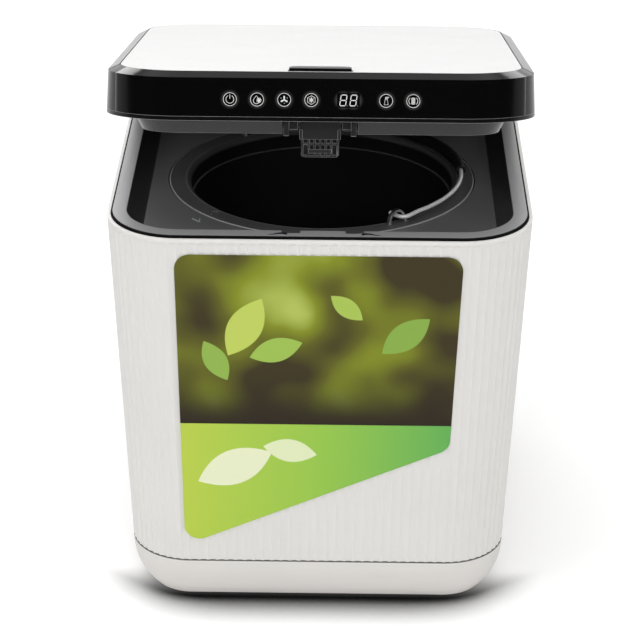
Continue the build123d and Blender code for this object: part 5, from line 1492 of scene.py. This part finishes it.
# ------------------------------------------------------------------ bucket's bail
@dataclass
class Bail:
    """Bright wire bail lying over the flange, with a black sleeve round its middle."""

    wire_r: float = 1.5 * MM
    arc_r: float = 105.0 * MM
    turn_deg: float = 32.0
    setback: float = 19.0 * MM
    elbow: float = 111.0 * MM
    tip: float = 95.8 * MM
    rise: float = 4.6 * MM
    grip_r: float = 4.15 * MM
    grip_span_deg: float = 60.0
    rib_r: float = 3.75 * MM
    ribs: int = 14                      # spaces along the sleeve, with a rib between two
    rib_share: float = 0.62             # of each space that its rib takes up

    def tube(self, name: str, points: Iterable[Spot], radius: float) -> bpy.types.Object:
        """Return a round tube along a smooth level line.

        Args:
            name: the piece's name.
            points: control points of the line, in metres, before the bail is turned.
            radius: of the tube.

        Returns:
            The mesh object.
        """
        turn = Matrix.Rotation(math.radians(self.turn_deg), 2)
        turned = [turn @ Vector(point) for point in points]
        line = [(x, y + BODY.bucket_y, BODY.flange_z + self.rise) for x, y in turned]
        return pipes(name, [line], radius, 5, "NURBS")

    def arc(self, start_deg: float, end_deg: float, count: int) -> list[Spot]:
        """List control points whose smooth line keeps to the bail's circle.

        Args:
            start_deg: where the line starts.
            end_deg: where it ends.
            count: points between its ends.

        Returns:
            The points.
        """
        step = (end_deg - start_deg) / count
        out = self.arc_r / math.cos(math.radians(step / 2))
        between = [polar(out, start_deg + step * (k + 0.5)) for k in range(count)]
        return [polar(self.arc_r, start_deg)] + between + [polar(self.arc_r, end_deg)]

    def build(self) -> list[bpy.types.Object]:
        """Bend the wire through its lugs and slip the ribbed sleeve on.

        Returns:
            Its dressed pieces.
        """
        end = 90.0 - math.degrees(math.asin(self.setback / self.arc_r))
        line = [(0.0, -self.tip), (0.0, -self.elbow)]
        line += self.arc(-end, end, 14) + [(0.0, self.elbow), (0.0, self.tip)]
        wire = self.tube("bail_wire_bend", line, self.wire_r)
        half = self.grip_span_deg / 2
        sleeve = self.tube("bail_sleeve", self.arc(-half, half, 7), self.rib_r)
        pitch = self.grip_span_deg / self.ribs
        reach = pitch * self.rib_share / 2
        middles = [-half + pitch * k for k in range(1, self.ribs)]
        ribs = [self.tube("rib", self.arc(at - reach, at + reach, 2), self.grip_r)
                for at in middles]
        grip = join("bail_sleeve", [sleeve] + ribs)
        soften(grip, 0.3 * MM, 50.0)
        return [dress(wire, "bright_wire", "bail", "bail_wire"),
                dress(grip, "black_plastic", "bail", "bail_grip")]


@dataclass
class BailEars:
    """Bare ears on the flange: strips bent into arches that hold the bail's ends."""

    centre_r: float = 104.4 * MM
    turn_deg: float = 32.0
    foot_half: float = 7.6 * MM         # outside of the legs at the flange
    top_half: float = 5.6 * MM
    height: float = 10.2 * MM
    strip: float = 1.7 * MM
    width: float = 3.5 * MM
    pad_out: float = 1.1 * MM
    pad_height: float = 0.7 * MM
    pad_past: float = 0.5 * MM          # how far each pad stands out past the strip's edges

    def arch(self) -> bpy.types.Object:
        """Return one arch standing on the flat: X across, Y up, Z through.

        Returns:
            The mesh object.
        """
        radius = self.foot_half * 0.96
        outer = Bench.plate("ear", 2 * self.foot_half, 2 * self.height, radius, 0.0, 12)
        ear = outer.raise_by(self.width).done()
        inner = Bench.plate("cutter", 2 * (self.foot_half - self.strip),
                            2 * (self.height - self.strip), radius - self.strip, -self.width, 12)
        hollow = inner.raise_by(3 * self.width).done()
        below = block("cutter", (-0.02, -0.02, -0.01), (0.02, 0.0, 0.01))
        cut(ear, [hollow, below])
        out, inward = self.foot_half + self.pad_out, self.foot_half - self.strip - 0.3 * MM
        cut(ear, [block("pad", (low, 0.0, -self.pad_past), (high, self.pad_height,
                                                           self.width + self.pad_past))
                  for low, high in ((-out, -inward), (inward, out))], "UNION")
        for vertex in ear.data.vertices:
            lean = 1 - (1 - self.top_half / self.foot_half) * vertex.co.y / self.height
            vertex.co.x *= lean
        soften(ear, 0.35 * MM, 40.0)
        return ear

    def build(self) -> list[bpy.types.Object]:
        """Stand an arch over each of the bail's ends.

        Returns:
            Its dressed pieces.
        """
        bare = Metal("bare_ear_metal", (0.62, 0.62, 0.63), 0.30, (0.3, 0.3, 1), 1500.0, stain=0.05)
        made = []
        for side, name in ((1, "bail_ear_front"), (-1, "bail_ear_rear")):
            ear = self.arch()
            ear.name = name
            angle = math.radians(self.turn_deg - 90.0 * side)
            out = Vector((math.cos(angle), math.sin(angle), 0.0))
            across = Vector((-math.sin(angle), math.cos(angle), 0.0))
            middle = Vector((0.0, BODY.bucket_y, BODY.flange_z))
            foot = out * (self.centre_r - self.width / 2) + middle
            axes = Matrix((across, Vector((0.0, 0.0, 1.0)), out)).transposed().to_4x4()
            ear.data.transform(Matrix.Translation(foot) @ axes)
            made.append(dress(ear, "steel", "bucket_body", finish=bare))
        return made


# ------------------------------------------------------------------ alignment ticks
@dataclass
class AlignmentTicks:
    """Small raised ticks on the flange and the deck that show how the bucket sits."""

    height: float = 0.35 * MM
    width: float = 0.8 * MM
    sunk: float = 0.1 * MM              # into the surface under it
    flange_tick: tuple = ((-79.4, -99.5), (-79.2, -93.4), (-74.8, -94.6))
    deck_tick: tuple = ((-92.5, -108.0), (-87.2, -113.4), (-87.2, -107.6))

    def stroke(self, name: str, points: Sequence[Spot], z: float) -> bpy.types.Object:
        """Return a bent raised line with eased edges.

        Args:
            name: the piece's name.
            points: its corners in plan, in millimetres.
            z: the surface it stands on.

        Returns:
            The mesh object.
        """
        bars = []
        for (x0, y0), (x1, y1) in zip(points, points[1:]):
            length = math.dist((x0, y0), (x1, y1)) * MM + self.width
            bar = block("bar", (-length / 2, -self.width / 2, z - self.sunk),
                        (length / 2, self.width / 2, z + self.height))
            spot = Matrix.Translation(((x0 + x1) / 2 * MM, (y0 + y1) / 2 * MM, 0.0))
            bar.data.transform(spot @ Matrix.Rotation(math.atan2(y1 - y0, x1 - x0), 4, "Z"))
            bars.append(bar)
        piece = join(name, bars)
        soften(piece, 0.12 * MM, 40.0)
        return piece

    def build(self) -> list[bpy.types.Object]:
        """Raise one tick on the bucket's flange and one on the deck beside it.

        Returns:
            Its dressed pieces.
        """
        flange = self.stroke("flange_tick", self.flange_tick, BODY.flange_z)
        deck = self.stroke("deck_tick", self.deck_tick, BODY.flange_z - self.sunk)
        # The deck's tick is a paler grey than the deck.
        pale = Moulded("pale_tick", (0.55, 0.55, 0.55), 0.35, 2200.0, 0.00001, 0.05)
        return [dress(flange, "steel", "bucket_body"),
                dress(deck, "deck_grey", "machine_body", finish=pale)]


# ------------------------------------------------------------------ dark inlays in the rim, painted shade
@dataclass
class RimShadeInlays:
    """Two dark curved inlays in the front of the rim, painted shade for the hollows where the lid's
    posts come down.
    """

    inner_x: float = 26.0 * MM          # the thick end, from the pair's middle
    outer_x: float = 39.6 * MM
    shift: float = 3.7 * MM
    y: float = -176.2 * MM
    thick: float = 3.2 * MM
    blunt: float = 0.12 * MM            # half of what the thin end is left with
    depth: float = 0.4 * MM
    proud: float = 0.06 * MM
    faces: int = 12

    def wedge(self, side: int, z0: float, z1: float) -> bpy.types.Object:
        """Return one inlay.

        Args:
            side: -1 on the left and 1 on the right.
            z0: its floor.
            z1: its top.

        Returns:
            The mesh object.
        """
        reach = side * (self.outer_x - self.inner_x)
        upper, lower = [], []
        for k in range(self.faces + 1):
            t = k / self.faces
            x = self.shift + side * self.inner_x + reach * t
            y = self.y + self.thick * (0.35 * math.sin(t * math.pi * 1.6) - 0.15 * t)
            half = self.thick / 2 * (1 - t) ** 0.8 + self.blunt
            upper.append((x, y + half, z0))
            lower.append((x, y - half, z0))
        outline = upper + lower[::-1]
        piece = start("inlay", bpy.ops.mesh.primitive_circle_add, vertices=len(outline),
                      radius=1.0, fill_type="NGON")
        for vertex, place in zip(piece.data.vertices, outline):
            vertex.co = place
        return Bench(piece).select(lambda face: True).raise_by(z1 - z0).done()

    def build(self) -> list[bpy.types.Object]:
        """Let both inlays into the rim."""
        low, top = BODY.rim_z - self.depth, BODY.rim_z + self.proud
        # Painted shade: the black inlays stand for the shadowed hollows where the lid's posts come
        # down.
        pair = join("rim_shade_inlays", [self.wedge(side, low, top) for side in (-1, 1)])
        return [dress(pair, "rubber_black", "machine_body")]


# ------------------------------------------------------------------ carried-over nodes
@dataclass
class FrameNodes:
    """CAD nodes that stay, with finishes, and those whose edges are eased."""

    eased_edges: dict[str, float] = field(default_factory=lambda: {
        "top_deck": 0.45, "lid_shell": 0.45, "lid_top_panel": 0.8, "inner_lid": 0.4,
        "release_button": 0.5, "latch_tongue": 0.3, "latch_housing": 0.3, "bucket": 0.6,
        "filter_drawer": 0.3, "power_inlet": 0.3, "hinge_brackets": 0.3,
        "hinge_leaves": 0.3, "control_fascia": 0.25, "stirrer_blade": 0.8, "rubber_feet": 0.5,
    })                                  # widths of the eased edges, in millimetres

    @property
    def own(self) -> dict[str, Finish]:
        """Return the finishes of nodes that don't take their slot's.

        Returns:
            A finish for each such node.
        """
        marks = FasciaMarks()
        xs = [x for x, _ in marks.places]
        xs += [marks.digit_x - marks.digit_pitch / 2, marks.digit_x + marks.digit_pitch / 2]
        z = BODY.lid_z + marks.mark_z
        middles = tuple(tuple(BODY.opened(Vector((x, BODY.front_y, z)))) for x in xs)
        black = FINISHES["black_gloss"]
        return {
            "control_fascia": HaloGloss("polished_fascia", black.colour, black.rough,
                                        specular=black.specular, middles=middles),
            "inner_lid": PlugSatin("satin_plug", (0.024, 0.024, 0.025), 0.17, 2200.0,
                                   0.00001, 0.06),
        }

    @property
    def edges(self) -> dict[str, Finish]:
        """Return the finishes of the edges with a painted highlight or painted shade.

        Returns:
            A finish for each such node.
        """
        def tone(name: str, share: float, rough: float) -> Moulded:
            """Return a grey for edges with a painted highlight or painted shade."""
            return Moulded(name, (share,) * 3, rough, 2200.0, 0.00001, 0.05)
        # Painted highlights: the eased edges of the plug, the latch and the deck's rim are a
        # lighter grey; the lid panel's edge is painted shade.
        edge_highlight = tone("painted_edge_highlight", 0.42, 0.30)
        return {"inner_lid": edge_highlight, "latch_housing": edge_highlight, "latch_tongue": edge_highlight,
                "top_deck": tone("painted_rim_highlight", 0.32, 0.30),
                "lid_top_panel": tone("shaded_edge", 0.06, 0.45)}

    def build(self) -> list[bpy.types.Object]:
        """Ease the listed nodes and give every other node its slot's finish.

        Returns:
            Its dressed pieces.
        """
        own, edges = self.own, self.edges
        made = [eased(node, width * MM, own.get(node), edges.get(node))
                for node, width in self.eased_edges.items()]
        trim_above(bpy.data.objects["bucket_moulding"], BODY.flange_z + 0.03 * MM)
        for node, piece in frame["nodes"].items():
            finish = FINISHES[slot_of_node(node)].material()
            for slot in piece.material_slots:
                slot.material = finish
        return made


# ------------------------------------------------------------------ studio
class Sky(Paintbox):
    """The node tree of the world."""

    def __init__(self, name: str) -> None:
        """Start a world with a Background shader.

        Args:
            name: the world's name.
        """
        world = bpy.data.worlds.new(name)
        bpy.context.scene.world = world
        world.use_nodes = True
        self.tree = world.node_tree
        self.surface = self.tree.nodes["Background"]


@dataclass(frozen=True)
class Lamp:
    """One soft box: where it stands, what it faces, its width, its height and its power."""

    name: str
    place: Place
    width: float
    height: float
    power: float
    aim: Place = (0.0, 0.0, 0.25)

    def build(self) -> None:
        """Hang the lamp."""
        light = bpy.data.lights.new(self.name, "AREA")
        light.shape = "RECTANGLE"
        light.size = self.width
        light.size_y = self.height
        light.energy = self.power
        lamp = bpy.data.objects.new(self.name, light)
        lamp.location = self.place
        look = Vector(self.aim) - Vector(self.place)
        lamp.rotation_euler = look.to_track_quat("-Z", "Y").to_euler()
        bpy.context.scene.collection.objects.link(lamp)


@dataclass
class Studio:
    """Pale floor and backdrop, a dark room in front, soft boxes and the camera."""

    camera_place: Place = (0.0183, -1.8217, 0.9996)
    camera_tilt: float = 65.1
    camera_yaw: float = 0.60
    camera_roll: float = 0.39
    lens: float = 144.2
    around: float = 0.45                # the even light from all round
    dark: float = 0.02                  # how bright gloss sees the room in front
    floor_size: float = 12.0
    floor_tone: float = 0.80
    floor_seen: float = 0.95            # the floor's colour as the camera sees it
    floor_lift: float = 0.12
    shade_reach: float = 0.055          # how far the object's foot darkens the floor
    shade_y: float = -0.165             # and only this far forward
    lamps: tuple = (
        Lamp("top_lamp", (-0.2, -0.4, 2.2), 1.6, 1.6, 21.5),
        Lamp("left_lamp", (-2.0, -1.2, 1.4), 1.4, 1.4, 11.0),
        Lamp("right_lamp", (2.0, -1.2, 1.4), 1.4, 1.4, 7.5),
        Lamp("front_lamp", (0.5, -2.6, 1.7), 1.2, 1.2, 14.5),
        Lamp("rear_left_lamp", (-0.80, 1.85, 1.20), 1.6, 0.7, 11.0),
        Lamp("rear_right_lamp", (0.80, 1.85, 1.20), 1.6, 0.7, 7.0),
    )

    def world(self) -> None:
        """Light evenly from all round, and show white to the camera and, behind, to gloss."""
        sky = Sky("studio")
        camera = sky.node("ShaderNodeLightPath", output="Is Camera Ray")
        rays = camera.socket.node.outputs
        glossy, through = (Value(sky, rays[k]) for k in ("Is Glossy Ray", "Is Transmission Ray"))
        x, y, z = sky.axes(sky.node("ShaderNodeTexCoord", output="Generated"))
        lit = y.ramp(0.70, 0.90).most(z.ramp(0.45, 0.7) * (1 - abs(x).ramp(0.30, 0.50)))
        mirrored = self.dark + lit * (1.0 - self.dark)
        shown = camera.most(through)
        strength = (1 - glossy) * self.around + glossy * mirrored
        sky.set(Color=WHITE, Strength=strength * (1 - shown) + shown)

    def floor(self) -> None:
        """Lay a large floor that looks white away from the object's shadow."""
        floor = start("studio_floor", bpy.ops.mesh.primitive_plane_add, size=self.floor_size)
        box = Paintbox("floor_white")
        camera = box.node("ShaderNodeLightPath", output="Is Camera Ray")
        open_sky = box.node("ShaderNodeAmbientOcclusion", {"samples": 16},
                            {"Distance": self.shade_reach}, "AO")
        behind = (box.axes(box.place())[1] - self.shade_y).ramp(0.0, 0.05)
        shade = open_sky.ramp(0.34, 0.90).most(behind)
        seen = box.mix(shade, BLACK, (self.floor_seen,) * 3)
        box.set(Base_Color=box.mix(camera, (self.floor_tone,) * 3, seen), Roughness=0.9,
                Specular_IOR_Level=0.0, Emission_Color=WHITE,
                Emission_Strength=camera * shade * self.floor_lift)
        floor.data.materials.append(box.material)

    def build(self) -> None:
        """Set the camera, the lamps, the world and the floor."""
        camera = bpy.data.cameras.new("camera")
        camera.lens = self.lens
        camera.sensor_width = 36.0
        holder = bpy.data.objects.new("camera", camera)
        holder.location = self.camera_place
        turns = ((self.camera_yaw, "Z"), (self.camera_tilt, "X"), (self.camera_roll, "Z"))
        aim = Matrix.Identity(3)
        for angle, axis in turns:
            aim = aim @ Matrix.Rotation(math.radians(angle), 3, axis)
        holder.rotation_euler = aim.to_euler()
        bpy.context.scene.collection.objects.link(holder)
        bpy.context.scene.camera = holder
        self.world()
        self.floor()
        for lamp in self.lamps:
            lamp.build()


def main() -> None:
    """Build the studio and then each sub-assembly, and report their pieces."""
    logging.basicConfig(level=logging.INFO, format="%(message)s")
    bpy.context.scene.view_settings.view_transform = "Standard"
    Studio().build()
    for assembly in (FrameNodes(), FlutedCasing(), BaseTray(), FasciaMarks(), Bail(), BailEars(),
                     AlignmentTicks(), RimShadeInlays()):
        for piece in assembly.build():
            LOG.info("%s: %s, %d faces", type(assembly).__name__, piece.name,
                     len(piece.data.polygons))


if __name__ == "__main__":
    main()
